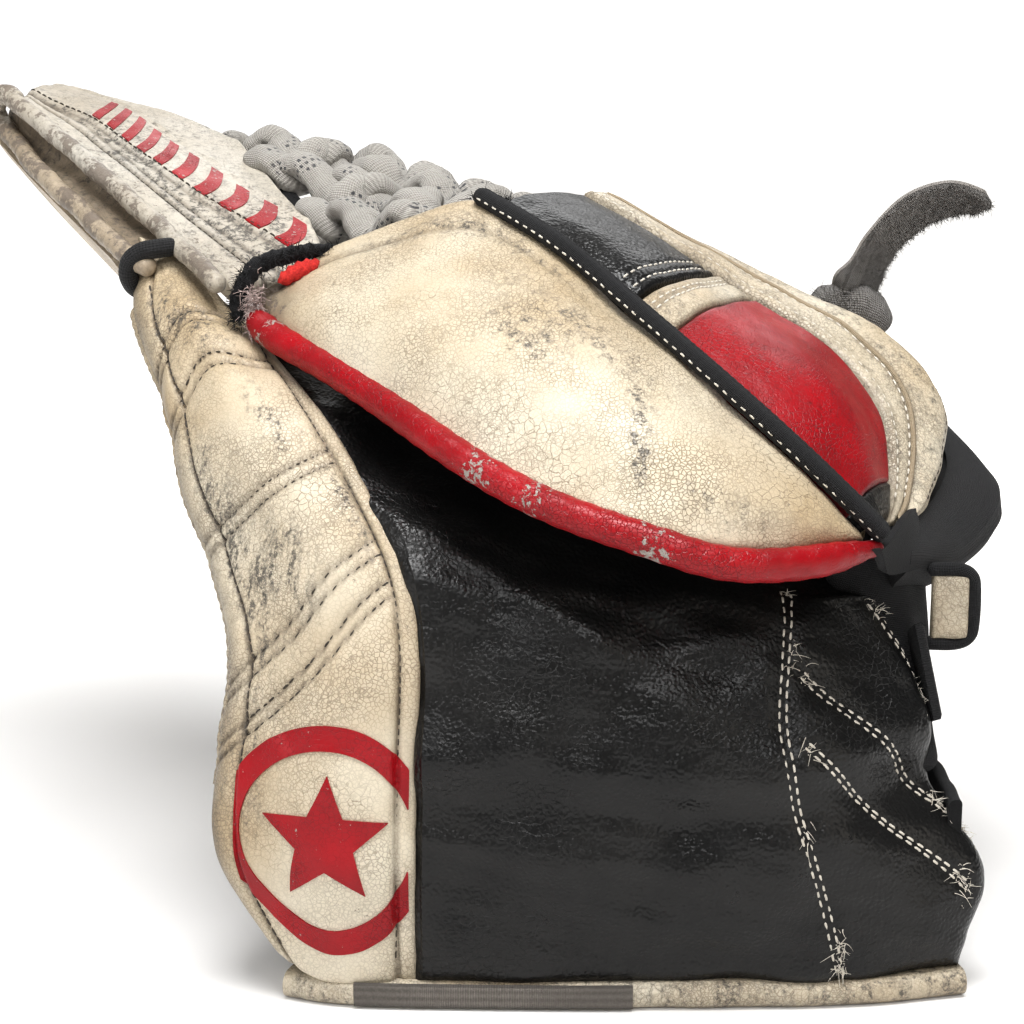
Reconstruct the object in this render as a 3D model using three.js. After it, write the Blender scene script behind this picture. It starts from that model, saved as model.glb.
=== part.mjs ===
// Ice hockey goalie catch glove, folded shut and standing on the end of its cuff.
// Millimetres, +Z up, +X to the little-finger side, +Y away from the catching side.
// The glove is two halves that fold about one straight crease, from the heel of the palm to
// the crease of the T: the palm half (cuff, palm, thumb) and the finger half.
import * as THREE from "three";

// Driving dimensions
const CENTRE = new THREE.Vector3(-11, 101.4, -9); // middle of the outline on the floor, in sketch axes
const GAP = 0.4; // between touching pieces
const ROLL_HEIGHT = 7; // bound edge that the cuff stands on
const PANEL_THICKNESS = 8; // sewn panels on the back of the fingers
const T_THICKNESS = 6;
const STIFFENER = 2; // plastic sheet inside the foam
const LINER_THICKNESS = 3;
const LACE_RADIUS = 3.6; // pocket lacing
const LIP_RADIUS = 4; // rolled lips of the T
const FLOOR = CENTRE.z;

const LEATHER = { roughness: 0.55, metalness: 0 };
const WHITE = { color: 0xe6dfcd, ...LEATHER };
const BLACK = { color: 0x17181a, ...LEATHER };
const RED = { color: 0xa8101c, ...LEATHER };
const NYLON = { color: 0x141416, roughness: 0.9, metalness: 0 };
const TAN = { color: 0x8b8370, roughness: 0.8, metalness: 0 };
const GREY_LACE = { color: 0x8f8b84, roughness: 0.95, metalness: 0 };
const HOOK_LOOP = { color: 0x45423f, roughness: 1, metalness: 0 };
const PLASTIC = { color: 0x2b2d30, roughness: 0.4, metalness: 0 };
const LINER = { color: 0x26272b, roughness: 0.95, metalness: 0 };

const glove = new THREE.Group();
glove.position.copy(CENTRE).negate();

function add(name, geometry, finish) {
  const mesh = new THREE.Mesh(geometry, new THREE.MeshStandardMaterial(finish));
  mesh.name = name;
  glove.add(mesh);
}

const points = (list) => list.map(([x, y, z]) => new THREE.Vector3(x, y, z));
const curve = (list) => new THREE.CatmullRomCurve3(points(list), false, "catmullrom", 0.5);

// A smooth surface through rows of points: u runs along a row, v from the first row to the last.
function surface(rows) {
  const along = rows.map(curve);
  const at = (u, v) =>
    new THREE.CatmullRomCurve3(along.map((c) => c.getPoint(u)), false, "catmullrom", 0.5).getPoint(v);
  const STEP = 0.004;
  const normal = (u, v) => {
    const du = at(Math.min(1, u + STEP), v).sub(at(Math.max(0, u - STEP), v));
    const dv = at(u, Math.min(1, v + STEP)).sub(at(u, Math.max(0, v - STEP)));
    return du.cross(dv).normalize();
  };
  return { at, normal };
}

// A padded piece: a stretch of a surface between two offsets from it, closed round its edges.
// Limits in v may depend on u, for slanted seams. The inner side is smaller by the taper.
class PadGeometry extends THREE.BufferGeometry {
  constructor(face, options) {
    super();
    const { u = [0, 1], v = [0, 1], outer = 0, inner = -PANEL_THICKNESS } = options;
    const { taper = [0, 0], nu = 8, nv = 4 } = options;
    const position = [];
    const index = [];
    const value = (x, s, t) => (typeof x === "function" ? x(s, t) : x);
    for (const side of [outer, inner]) {
      const [du, dv] = side === inner ? taper : [0, 0];
      for (let j = 0; j <= nv; j++)
        for (let i = 0; i <= nu; i++) {
          const s = THREE.MathUtils.lerp(u[0] + du, u[1] - du, i / nu);
          const t = THREE.MathUtils.lerp(value(v[0], s) + dv, value(v[1], s) - dv, j / nv);
          position.push(...face.at(s, t).addScaledVector(face.normal(s, t), value(side, s, t)));
        }
    }
    const layer = (nu + 1) * (nv + 1);
    const front = (i, j) => j * (nu + 1) + i;
    const back = (i, j) => layer + front(i, j);
    const quad = (a, b, c, d) => index.push(a, b, c, a, c, d);
    for (let j = 0; j < nv; j++)
      for (let i = 0; i < nu; i++) {
        quad(front(i, j), front(i + 1, j), front(i + 1, j + 1), front(i, j + 1));
        quad(back(i, j), back(i, j + 1), back(i + 1, j + 1), back(i + 1, j));
      }
    for (let i = 0; i < nu; i++) {
      quad(front(i, 0), back(i, 0), back(i + 1, 0), front(i + 1, 0));
      quad(front(i + 1, nv), back(i + 1, nv), back(i, nv), front(i, nv));
    }
    for (let j = 0; j < nv; j++) {
      quad(front(0, j + 1), back(0, j + 1), back(0, j), front(0, j));
      quad(front(nu, j), back(nu, j), back(nu, j + 1), front(nu, j + 1));
    }
    this.setAttribute("position", new THREE.Float32BufferAttribute(position, 3));
    this.setIndex(index);
  }
}

// A round cord or roll along a route.
function roll(route, radius, steps, sides = 4) {
  const section = new THREE.Shape().absarc(0, 0, radius, 0, 2 * Math.PI);
  const options = { extrudePath: curve(route), steps, curveSegments: sides };
  return new THREE.ExtrudeGeometry(section, options);
}

// A flat piece drawn in plan and raised from one height to another.
function slab(outline, low, high) {
  const options = { depth: high - low, bevelEnabled: false };
  return new THREE.ExtrudeGeometry(new THREE.Shape(outline), options).translate(0, 0, low);
}

// A strip of even thickness along a route drawn in plan.
function strip(route, thickness, low, high) {
  const line = curve(route.map(([x, y]) => [x, y, 0]));
  const steps = 4 * (route.length - 1);
  const side = (sign) =>
    Array.from({ length: steps + 1 }, (_, i) => {
      const p = line.getPoint(i / steps);
      const d = line.getTangent(i / steps);
      return new THREE.Vector2(p.x - (d.y * sign * thickness) / 2, p.y + (d.x * sign * thickness) / 2);
    });
  return slab([...side(-1), ...side(1).reverse()], low, high);
}

// ---- Palm half: cuff, thumb and palm ------------------------------------------------------

// Rows run from the floor to the thumb tip; each has the outer edge, the middle and the palm seam.
const thumbBoard = surface([
  [[-66, 6, 0], [-46, 1, -1], [-25, 0, -1]],
  [[-75, 8, 30], [-50, -2, 30], [-25, -1, 30]],
  [[-74.5, 13, 58], [-49, 0, 58], [-24.5, 0, 57]],
  [[-72, 20, 86], [-48, 6, 88], [-24, 3, 90]],
  [[-79, 32, 106], [-55, 17, 112], [-28, 10, 110]],
  [[-88, 45, 125], [-65, 30, 130], [-39, 27, 129]],
  [[-95, 60, 145], [-75, 46, 148], [-51, 45, 145]],
  [[-105, 79, 165], [-86, 66, 165], [-64, 66, 156]],
  [[-109, 94, 178], [-96, 86, 176], [-80, 82, 168]],
]);
// Rows run from the floor to the crease; each goes from the thumb seam to the heel side.
const palmBoard = surface([
  [[-24, 0, -1], [12, -1, -1], [52, -1, -1], [93, 1, -1], [123, 7, 1]],
  [[-24, -1, 28], [12, -3, 26], [52, -4, 26], [94, -1, 26], [130, 13, 24]],
  [[-23.5, 0, 57], [12, -3, 52], [50, -3, 50], [88, 1, 50], [118, 22, 48]],
  [[-23, 3, 90], [12, 0, 80], [48, 0, 75], [82, 6, 74], [112, 29, 73]],
  [[-27, 10, 110], [10, 12, 104], [45, 12, 98], [78, 18, 95], [104, 32, 94]],
  [[-38, 30, 129], [2, 38, 124], [36, 28, 110], [72, 24, 101], [101, 32, 97]],
  [[-50, 54, 146], [-14, 68, 143], [22, 54, 127], [60, 38, 113], [98, 32, 99]],
  [[-66, 82, 161], [-32, 100, 161], [8, 76, 143], [48, 50, 124], [94, 32, 101]],
]);

// Bound edge along the floor, in plan.
const frontLine = [[-66, 7], [-46, 1], [-25, 0], [12, -1], [52, -1], [93, 1], [122, 7]];
const ROLL_DEPTH = 17;
const ROLL_PROUD = 3;
const ROLL_TOP = FLOOR + ROLL_HEIGHT;
const rollOutline = (line, proud, depth) => [
  ...line.map(([x, y]) => new THREE.Vector2(x, y - proud)),
  ...line.toReversed().map(([x, y]) => new THREE.Vector2(x, y + depth)),
];
add("cuff_base_roll", slab(rollOutline(frontLine, ROLL_PROUD, ROLL_DEPTH), FLOOR, ROLL_TOP), WHITE);
const patchLine = [[-42, 0.9], [-25, 0], [12, -1], [32, -1]].map(([x, y]) => [x, y - ROLL_PROUD - GAP]);
add("name_patch", slab(rollOutline(patchLine, 1, 0), FLOOR + 0.6, ROLL_TOP + 1), TAN);

// Foam is thinner towards a seam and up the thumb. A plastic sheet and a liner lie behind it.
const FOAM_EDGE = 6;
const FOAM_FULL = 14;
const THUMB_TIP_FOAM = 0.55; // of the foam's depth at the cuff
const foam = (s, t) => {
  const depth = FOAM_EDGE + (FOAM_FULL - FOAM_EDGE) * Math.sin(Math.PI * s);
  return -depth * (1 - (1 - THUMB_TIP_FOAM) * t);
};
const LAYER_GAP = 1.2;
const behind = (depth, thickness, back = foam) => ({
  outer: (s, t) => back(s, t) - depth,
  inner: (s, t) => back(s, t) - depth - thickness,
});
const SHEET = behind(LAYER_GAP, STIFFENER);
const LINING = behind(2 * LAYER_GAP + STIFFENER, LINER_THICKNESS);

// The thumb foam is in blocks, so that the thumb bends at the slanted sewn channels between them.
const channels = [(s) => 0.267 + 0.215 * s, (s) => 0.335 + 0.21 * s, (s) => 0.534 + 0.148 * s,
  (s) => 0.73 + 0.16 * s, (s) => 0.81 + 0.175 * s, () => 1.01];
const HALF_CHANNEL = 0.005;
const thumbTaper = [0.05, 0.012];
add("cuff_thumb_pad", new PadGeometry(thumbBoard, {
  u: [0, 0.985], v: [0, (s) => channels[0](s) - HALF_CHANNEL], inner: foam, taper: thumbTaper, nu: 5, nv: 5,
}), WHITE);
for (let i = 0; i < 5; i++) {
  const v = [(s) => channels[i](s) + HALF_CHANNEL, (s) => channels[i + 1](s) - HALF_CHANNEL];
  const u = [0, i < 4 ? 0.975 : 0.88];
  const block = new PadGeometry(thumbBoard, { u, v, inner: foam, taper: thumbTaper, nu: 5, nv: 3 });
  add("thumb_block_" + (i + 1), block, WHITE);
}
add("thumb_stiffener", new PadGeometry(thumbBoard, {
  u: [0.15, 0.8], v: [0.03, 0.93], ...SHEET, nu: 5, nv: 14,
}), PLASTIC);
add("thumb_stall", new PadGeometry(thumbBoard, {
  u: [0.2, 0.75], v: [0.42, 0.88], ...LINING, nu: 4, nv: 8,
}), LINER);

const CUFF_TOP = 4 / 7; // where the stiff cuff ends and the soft palm begins
const PALM_THICKNESS = 7;
const PALM_THINNING = 0.6; // of the thumb foam's, from the floor up
const palmFoam = (s, t) => foam(s, t * PALM_THINNING);
add("cuff_palm_pad", new PadGeometry(palmBoard, {
  u: [0.004, 1], v: [0, CUFF_TOP - 0.0015], inner: palmFoam, taper: [0.03, 0.01], nu: 9, nv: 7,
}), BLACK);
add("palm_pad", new PadGeometry(palmBoard, {
  u: [0.02, 0.97], v: [CUFF_TOP + 0.0015, 0.97], inner: -PALM_THICKNESS, taper: [0.03, 0.03], nu: 8, nv: 5,
}), BLACK);
const PALM_SHEET = behind(LAYER_GAP, STIFFENER, palmFoam);
const PALM_LINING = behind(2 * LAYER_GAP + STIFFENER, LINER_THICKNESS, palmFoam);
add("cuff_stiffener", new PadGeometry(palmBoard, {
  u: [0.1, 0.88], v: [0.03, 0.5], ...PALM_SHEET, nu: 8, nv: 7,
}), PLASTIC);
add("palm_liner", new PadGeometry(palmBoard, {
  u: [0.12, 0.86], v: [0.05, 0.48], ...PALM_LINING, nu: 8, nv: 7,
}), LINER);

// Strip sewn up the outer edge of the thumb board.
const edgeLine = [
  [-69, 10, 2], [-78.5, 12, 30], [-78, 17, 58], [-75.5, 24, 86],
  [-82.5, 36, 106], [-91.5, 49, 125], [-98.5, 64, 145], [-108, 83, 163],
];
add("thumb_edge_strip", roll(edgeLine, 1.7, 21, 3), WHITE);

// ---- Palm half: back of the wrist -----------------------------------------------------------

const WRIST_PAD_TOP = 50;
const wristLine = [[-46, 98], [-4, 107], [52, 107], [92, 98]];
add("wrist_pad", strip(wristLine, 12, ROLL_TOP + GAP, WRIST_PAD_TOP), BLACK);
add("wrist_pad_roll", strip(wristLine, 15, FLOOR, ROLL_TOP), WHITE);
const GUSSET_THICKNESS = 3;
const thumbGussetLine = [[-67, 22], [-66, 45], [-60, 72], [-54, 90]];
add("thumb_side_gusset", strip(thumbGussetLine, GUSSET_THICKNESS, 4, 46), NYLON);
const cuffGussetLine = [[117, 31], [119, 50], [114, 75], [101, 91]];
add("cuff_side_gusset", strip(cuffGussetLine, GUSSET_THICKNESS, 2, 30), NYLON);
// Strap from the little-finger edge of the cuff, sloping down round the wrist to its pad.
const wristStrap = surface([
  [[116, 36, 60], [118, 52, 50], [114, 76, 40], [102, 92, 36]],
  [[112, 38, 80], [115, 52, 68], [112, 74, 54], [102, 90, 47]],
]);
add("wrist_strap", new PadGeometry(wristStrap, { inner: -GUSSET_THICKNESS, nu: 10, nv: 1 }), NYLON);
const tabOutline = (inset) => {
  const [x0, x1, z0, z1, r] = [112 + inset, 127 - inset, 81 + inset, 104 - inset, 6 - inset];
  return new THREE.Shape()
    .moveTo(x0, z0)
    .lineTo(x1 - r, z0)
    .absarc(x1 - r, z0 + r, r, -Math.PI / 2, 0)
    .absarc(x1 - r, z1 - r, r, 0, Math.PI / 2)
    .lineTo(x0, z1)
    .closePath();
};
const TAB_BACK = 36;
const TAB_THICKNESS = 4;
const TAB_BINDING = 3;
const upright = (shape, depth, back) => {
  const flat = new THREE.ExtrudeGeometry(shape, { depth, bevelEnabled: false, curveSegments: 5 });
  return flat.rotateX(Math.PI / 2).translate(0, back, 0);
};
const tabRim = tabOutline(0);
tabRim.holes = [tabOutline(TAB_BINDING)];
add("wrist_tab_binding", upright(tabRim, TAB_THICKNESS, TAB_BACK), NYLON);
add("wrist_tab", upright(tabOutline(TAB_BINDING + GAP), TAB_THICKNESS - 1, TAB_BACK - 0.5), WHITE);

// ---- Palm half: thumb side of the T -------------------------------------------------------

const tThumb = surface([
  [[-167, 184, 217], [-147, 152, 204], [-115, 106, 184]],
  [[-164, 192, 210], [-142, 164, 193], [-110, 122, 171]],
  [[-160, 198, 205], [-136, 175, 184], [-104, 140, 159]],
]);
add("t_thumb_half", new PadGeometry(tThumb, { v: [0.12, 1], inner: -T_THICKNESS, nu: 6, nv: 4 }), WHITE);
const thumbLip = [[-167, 180, 217], [-149, 149, 204], [-131, 121, 194], [-117, 100, 186]];
add("t_thumb_roll", roll(thumbLip, LIP_RADIUS, 8), WHITE);
const bandLine = [[-113.5, 92, 172], [-115, 88, 178], [-112, 84.5, 182], [-105, 84, 183.5], [-99, 86, 182]];
add("thumb_tip_band", roll(bandLine, 2.2, 10), NYLON);

// ---- Finger half: flange and back of the fingers ---------------------------------------------

// Flange from the T to the heel; rows run from the bound edge up to the ridge.
const flange = surface([
  [[-69, 68, 167], [-35, 33, 155], [-11, 9, 144], [12, -7, 135],
    [31, -17, 129], [51, -18, 123], [72, -9, 119], [91, 5, 117]],
  [[-70, 70, 171], [-43, 50, 174], [-14, 31, 172], [12, 16, 163],
    [34, 1, 150], [54, -8, 138], [73, -5, 128], [91, 4, 118]],
  [[-71, 73, 175], [-48, 80, 186], [-10, 76, 197], [13, 55, 185],
    [34, 35, 168], [54, 18, 152], [71, 8, 137], [90, 5, 119]],
]);
// Back of the fingers from the index side to the heel; rows run from the ridge to the rear rim.
const dorsal = surface([
  [[-6, 80, 199], [15, 59, 186], [36, 39, 169], [57, 22, 153], [74, 12, 138], [92, 9, 120]],
  [[6, 95, 201], [27, 72, 190], [49, 55, 175], [70, 42, 161], [86, 30, 146], [97, 22, 122]],
  [[22, 112, 200], [44, 97, 188], [66, 88, 174], [89, 74, 160], [103, 58, 143], [104, 38, 121]],
  [[28, 120, 199], [53, 109, 185], [75, 98, 173], [99, 84, 160], [112, 68, 143], [109, 44, 119]],
  [[34, 130, 195], [61, 120, 181], [84, 110, 170], [110, 94, 158], [124, 78, 140], [117, 52, 118]],
  [[38, 143, 182], [64, 134, 167], [87, 122, 155], [111, 108, 141], [123, 90, 124], [115, 62, 108]],
]);
const BORDER_START = 0.4; // rows of the dorsal surface, as v
const BORDER_END = 0.6;
const PANEL_INNER = -PANEL_THICKNESS + 1;
const FLANGE_EDGE = 2.5; // foam of the flange at its ends, and what is added in the middle
const FLANGE_FULL = 6;
add("flange_pad", new PadGeometry(flange, {
  u: [0, 0.975], v: [0, 0.98], inner: (s) => -FLANGE_EDGE - FLANGE_FULL * Math.sin(Math.PI * s),
  taper: [0, 0.09], nu: 14, nv: 6,
}), WHITE);
const panels = [
  ["dorsal_index_panel", [0, 0.345], BLACK, 4],
  ["dorsal_stripe", [0.355, 0.435], WHITE, 1],
  ["dorsal_middle_panel", [0.445, 0.905], RED, 5],
  ["dorsal_heel_panel", [0.915, 0.99], BLACK, 1],
];
for (const [name, u, finish, nu] of panels)
  add(name, new PadGeometry(dorsal, {
    u, v: [0.03, BORDER_START - 0.01], inner: PANEL_INNER, nu, nv: 4,
  }), finish);
add("border_band", new PadGeometry(dorsal, {
  v: [BORDER_START + 0.01, BORDER_END - 0.01], outer: 1, inner: PANEL_INNER, nu: 12, nv: 2,
}), WHITE);
add("side_panel", new PadGeometry(dorsal, {
  v: [BORDER_END + 0.01, 1], inner: PANEL_INNER, nu: 12, nv: 4,
}), WHITE);
const pipingLine = [
  [30, 122, 202], [55, 111, 188], [77, 100, 176], [101, 86, 163], [114, 70, 146], [112.5, 45, 121],
];
add("border_piping", roll(pipingLine, 1.2, 16, 3), TAN);
const BACKING = PANEL_INNER - LAYER_GAP;
const LINER_DEPTH = BACKING - STIFFENER - 2 * LAYER_GAP;
add("dorsal_shell", new PadGeometry(dorsal, {
  u: [0.04, 0.86], v: [0.16, 0.9], outer: BACKING, inner: BACKING - STIFFENER, nu: 10, nv: 8,
}), PLASTIC);
add("finger_liner", new PadGeometry(dorsal, {
  u: [0.08, 0.8], v: [0.24, 0.84], outer: LINER_DEPTH, inner: LINER_DEPTH - LINER_THICKNESS, nu: 10, nv: 8,
}), LINER);
const bindingLine = [
  [-10, 79, 201.5], [13, 57, 189], [35, 36, 172], [55, 18, 156], [73, 8, 140.5], [91, 4, 123.5],
];
add("flange_binding", roll(bindingLine, 2.8, 16), NYLON);
const redLine = [
  [-64, 61, 160], [-35, 32, 148.5], [-12, 6, 138], [12, -11, 129],
  [34, -20, 122.5], [53, -20, 117.5], [76, -10, 115.5], [98, 6, 114.5],
];
add("red_edge_roll", roll(redLine, 4.4, 22), RED);

// Catching face of the fingers, from behind the bound edge to the crease.
const fingerFace = surface([
  [[-46, 54, 157], [-16, 20, 142], [10, 4, 133], [33, -6, 127], [53, -7, 121], [75, 1, 118], [88, 13, 116]],
  [[-42, 78, 168], [-12, 54, 153], [12, 40, 143], [34, 28, 134], [53, 21, 127], [72, 18, 121], [87, 19, 117]],
  [[-36, 100, 178], [-12, 86, 167], [10, 73, 156], [31, 60, 146], [48, 50, 138], [67, 38, 129], [84, 28, 119]],
]);
add("finger_face", new PadGeometry(fingerFace, {
  u: [0.02, 0.96], v: [0.04, 1], outer: 1, inner: -2, nu: 10, nv: 4,
}), BLACK);
// Side wall of the finger half next to the pocket: rows run from the catching face to the back.
const indexWall = surface([
  [[-34, 64, 167], [-33, 82, 174], [-30, 100, 182]],
  [[-22, 78, 181], [-14, 96, 185], [-5, 112, 188]],
  [[-9, 88, 193], [7, 105, 193], [22, 122, 190]],
]);
add("index_wall", new PadGeometry(indexWall, { outer: 1.5, inner: -1.5, nu: 4, nv: 4 }), BLACK);

// Gusset that closes the heel end of the fingers.
const heel = surface([
  [[95, 14, 113], [104, 30, 114], [110, 50, 110]],
  [[97, 19, 108], [107, 34, 106], [113, 54, 101]],
]);
add("heel_gusset", new PadGeometry(heel, { outer: 0, inner: -3, nu: 4, nv: 1 }), NYLON);

// Nylon pad on the little-finger side, under the side panel.
const pinkySide = surface([
  [[116, 60, 100], [127, 86, 114], [117, 111, 132]],
  [[122, 57, 97], [139, 82, 110], [127, 109, 128]],
  [[110, 56, 90], [126, 80, 98], [118, 106, 114]],
]);
add("pinky_side_pad", new PadGeometry(pinkySide, { outer: 0, inner: -5, nu: 6, nv: 6 }), NYLON);

// ---- Finger half: finger side of the T and the pocket ---------------------------------------

const tFinger = surface([
  [[-162, 177, 228], [-136, 147, 212], [-109, 114, 195], [-80, 76, 176]],
  [[-161, 203, 230], [-134, 180, 222], [-102, 142, 205], [-56, 100, 183]],
  [[-160, 228, 230], [-138, 215, 227], [-114, 200, 222], [-90, 180, 214]],
]);
add("t_finger_half", new PadGeometry(tFinger, { v: [0.1, 1], inner: -T_THICKNESS, nu: 8, nv: 6 }), WHITE);
const fingerLip = [[-163, 173, 227], [-137, 143, 211], [-110, 110, 194], [-82, 72, 175.5]];
add("t_finger_roll", roll(fingerLip, LIP_RADIUS, 10), WHITE);
add("t_stripe_band", new PadGeometry(tFinger, {
  u: [0.1, 0.9], v: [0.32, 0.46], outer: 2.4, inner: 0.5, nu: 8, nv: 1,
}), WHITE);

// Lacing of the pocket: five laces from the T to the index side, and two across beneath them.
const laceEnds = [
  [[-54, 114, 185], [-27, 90, 193]],
  [[-62, 134, 193], [-16, 107, 198]],
  [[-71, 150, 201], [-9, 123, 200]],
  [[-79, 165, 207], [0, 138, 198]],
  [[-87, 184, 213], [8, 153, 193]],
];
const LACE_CROWN = 3; // rise of a lace between its ends
laceEnds.forEach(([a, b], i) => {
  const rise = [0, 0, LACE_CROWN];
  const middle = new THREE.Vector3(...a).lerp(new THREE.Vector3(...b), 0.5);
  middle.add(new THREE.Vector3(...rise));
  add("pocket_lace_" + (i + 1), roll([a, middle.toArray(), b], LACE_RADIUS, 8), GREY_LACE);
});

// ---- Hand strap ---------------------------------------------------------------------------

const strapBase = surface([
  [[91, 129, 156], [101, 125, 151], [112, 118, 143]],
  [[98, 121, 169], [102, 127, 163], [108, 134, 157]],
]);
add("strap_base", new PadGeometry(strapBase, { outer: 1, inner: -1, nu: 4, nv: 3 }), NYLON);

const strapLine = curve([
  [103, 126, 167], [108, 124, 174], [112, 121, 184], [121, 118, 195], [132, 115, 200], [143, 113, 200],
]);
const STRAP_ACROSS = new THREE.Vector3(0.45, 0.75, -0.45).normalize();
const STRAP_WIDTH = 25;
const strapFace = (u, v) => strapLine.getPoint(v).addScaledVector(STRAP_ACROSS, STRAP_WIDTH * (u - 0.5));
const strap = {
  at: strapFace,
  normal: (u, v) => STRAP_ACROSS.clone().cross(strapLine.getTangent(v)).normalize(),
};
add("hand_strap", new PadGeometry(strap, { outer: 1.4, inner: -1.4, nu: 2, nv: 12 }), HOOK_LOOP);

export default glove;
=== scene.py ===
"""Looks for a folded goalie catch glove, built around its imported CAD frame.

Lists of points are in millimetres, in the axes that the glove was drawn in; SHIFT takes them to
the row frame. Everything in Blender is in metres, in the row frame.
"""
import math

import bpy
import numpy as np
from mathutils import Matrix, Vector


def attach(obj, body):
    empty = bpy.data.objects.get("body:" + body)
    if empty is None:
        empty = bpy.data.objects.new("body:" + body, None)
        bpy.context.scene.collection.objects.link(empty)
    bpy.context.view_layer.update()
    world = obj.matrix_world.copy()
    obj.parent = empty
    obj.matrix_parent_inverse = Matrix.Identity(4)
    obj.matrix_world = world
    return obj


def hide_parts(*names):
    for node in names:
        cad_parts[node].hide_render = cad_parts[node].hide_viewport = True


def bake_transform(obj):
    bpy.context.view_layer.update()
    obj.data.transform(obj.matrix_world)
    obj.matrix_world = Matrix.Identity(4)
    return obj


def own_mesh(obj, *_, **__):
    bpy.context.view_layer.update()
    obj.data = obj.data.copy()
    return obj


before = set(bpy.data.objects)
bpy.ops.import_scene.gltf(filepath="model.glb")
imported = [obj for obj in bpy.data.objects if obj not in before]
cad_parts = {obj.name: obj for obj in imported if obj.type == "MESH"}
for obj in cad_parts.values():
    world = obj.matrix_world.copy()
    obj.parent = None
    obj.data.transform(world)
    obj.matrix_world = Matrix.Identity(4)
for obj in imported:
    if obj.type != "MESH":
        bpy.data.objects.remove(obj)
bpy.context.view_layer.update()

SHIFT = np.array((11.0, -101.4, 9.0))
MM = 0.001
STEP = 1.2  # mm between a pad's mesh points
SHARP = math.radians(50)  # edges bent more than this are shaded as edges
UP = np.array((0, 0, 1))
PALM_HALF, FINGER_HALF, HAND_STRAP, WRIST_TAB = "palm_half", "finger_half", "hand_strap", "wrist_tab"


def row(points):
    """Drawing axes in mm to the row frame in metres."""
    return (np.asarray(points, float) + SHIFT) * MM


def row_point(x, y, z):
    return tuple(row((x, y, z)))


# ---- Camera, floor and light ----

WARM_WHITE = (1.0, 0.985, 0.96, 1)
PLAIN = (1, 1, 1)


def add_object(name, data, location, target):
    """A camera or light at location, facing target."""
    obj = bpy.data.objects.new(name, data)
    obj.location = location
    obj.rotation_euler = (Vector(target) - obj.location).to_track_quat("-Z", "Y").to_euler()
    bpy.context.scene.collection.objects.link(obj)
    return obj


camera = add_object("camera", bpy.data.cameras.new("camera"), row((0, -508.6, 234.1)), row((0, 0, 126)))
camera.data.lens = 72.2
camera.data.sensor_width = 36
bpy.context.scene.camera = camera

for name, location, size, power, colour in (
    ("overhead", (0.05, -0.3, 1.05), (0.6, 0.35), 11, PLAIN),
    ("front_above", (0.1, -1.1, 0.95), (0.9, 0.25), 4.8, PLAIN),
    ("front_left", (-0.9, -0.7, 0.6), (0.35, 0.45), 3.0, PLAIN),
    ("front_right", (0.9, -0.9, 0.35), (0.4, 0.6), 1.2, (1.0, 0.93, 0.82)),
    ("back", (0.2, 1.0, 0.9), (1.0, 0.6), 4, PLAIN),
):
    light = bpy.data.lights.new(name, "AREA")
    light.shape = "RECTANGLE"
    light.size, light.size_y = size
    light.energy = power
    light.color = colour
    add_object(name, light, location, (0, 0, 0.1))

# The world looks white to the camera, and lights the glove faintly
world = bpy.data.worlds.new("studio")
world.use_nodes = True
nodes, links = world.node_tree.nodes, world.node_tree.links
shown = nodes.new("ShaderNodeBackground")
shown.inputs["Color"].default_value = (1.0, 1.0, 1.0, 1)
glow = nodes["Background"]
glow.inputs["Color"].default_value = WARM_WHITE
glow.inputs["Strength"].default_value = 0.15
switch = nodes.new("ShaderNodeMixShader")
links.new(nodes.new("ShaderNodeLightPath").outputs["Is Camera Ray"], switch.inputs[0])
links.new(glow.outputs[0], switch.inputs[1])
links.new(shown.outputs[0], switch.inputs[2])
links.new(switch.outputs[0], nodes["World Output"].inputs["Surface"])
bpy.context.scene.world = world
bpy.context.scene.view_settings.view_transform = "Standard"
bpy.context.scene.view_settings.look = "Medium High Contrast"

# ---- Shaders ----


class Value:
    """A shader socket that arithmetic can be written with. Each operation adds a Math node."""

    def __init__(self, shader, socket):
        self.shader, self.socket = shader, socket

    def __add__(self, other):
        return self.shader.math("ADD", self, other)

    def __sub__(self, other):
        return self.shader.math("SUBTRACT", self, other)

    def __mul__(self, other):
        return self.shader.math("MULTIPLY", self, other)


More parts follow.
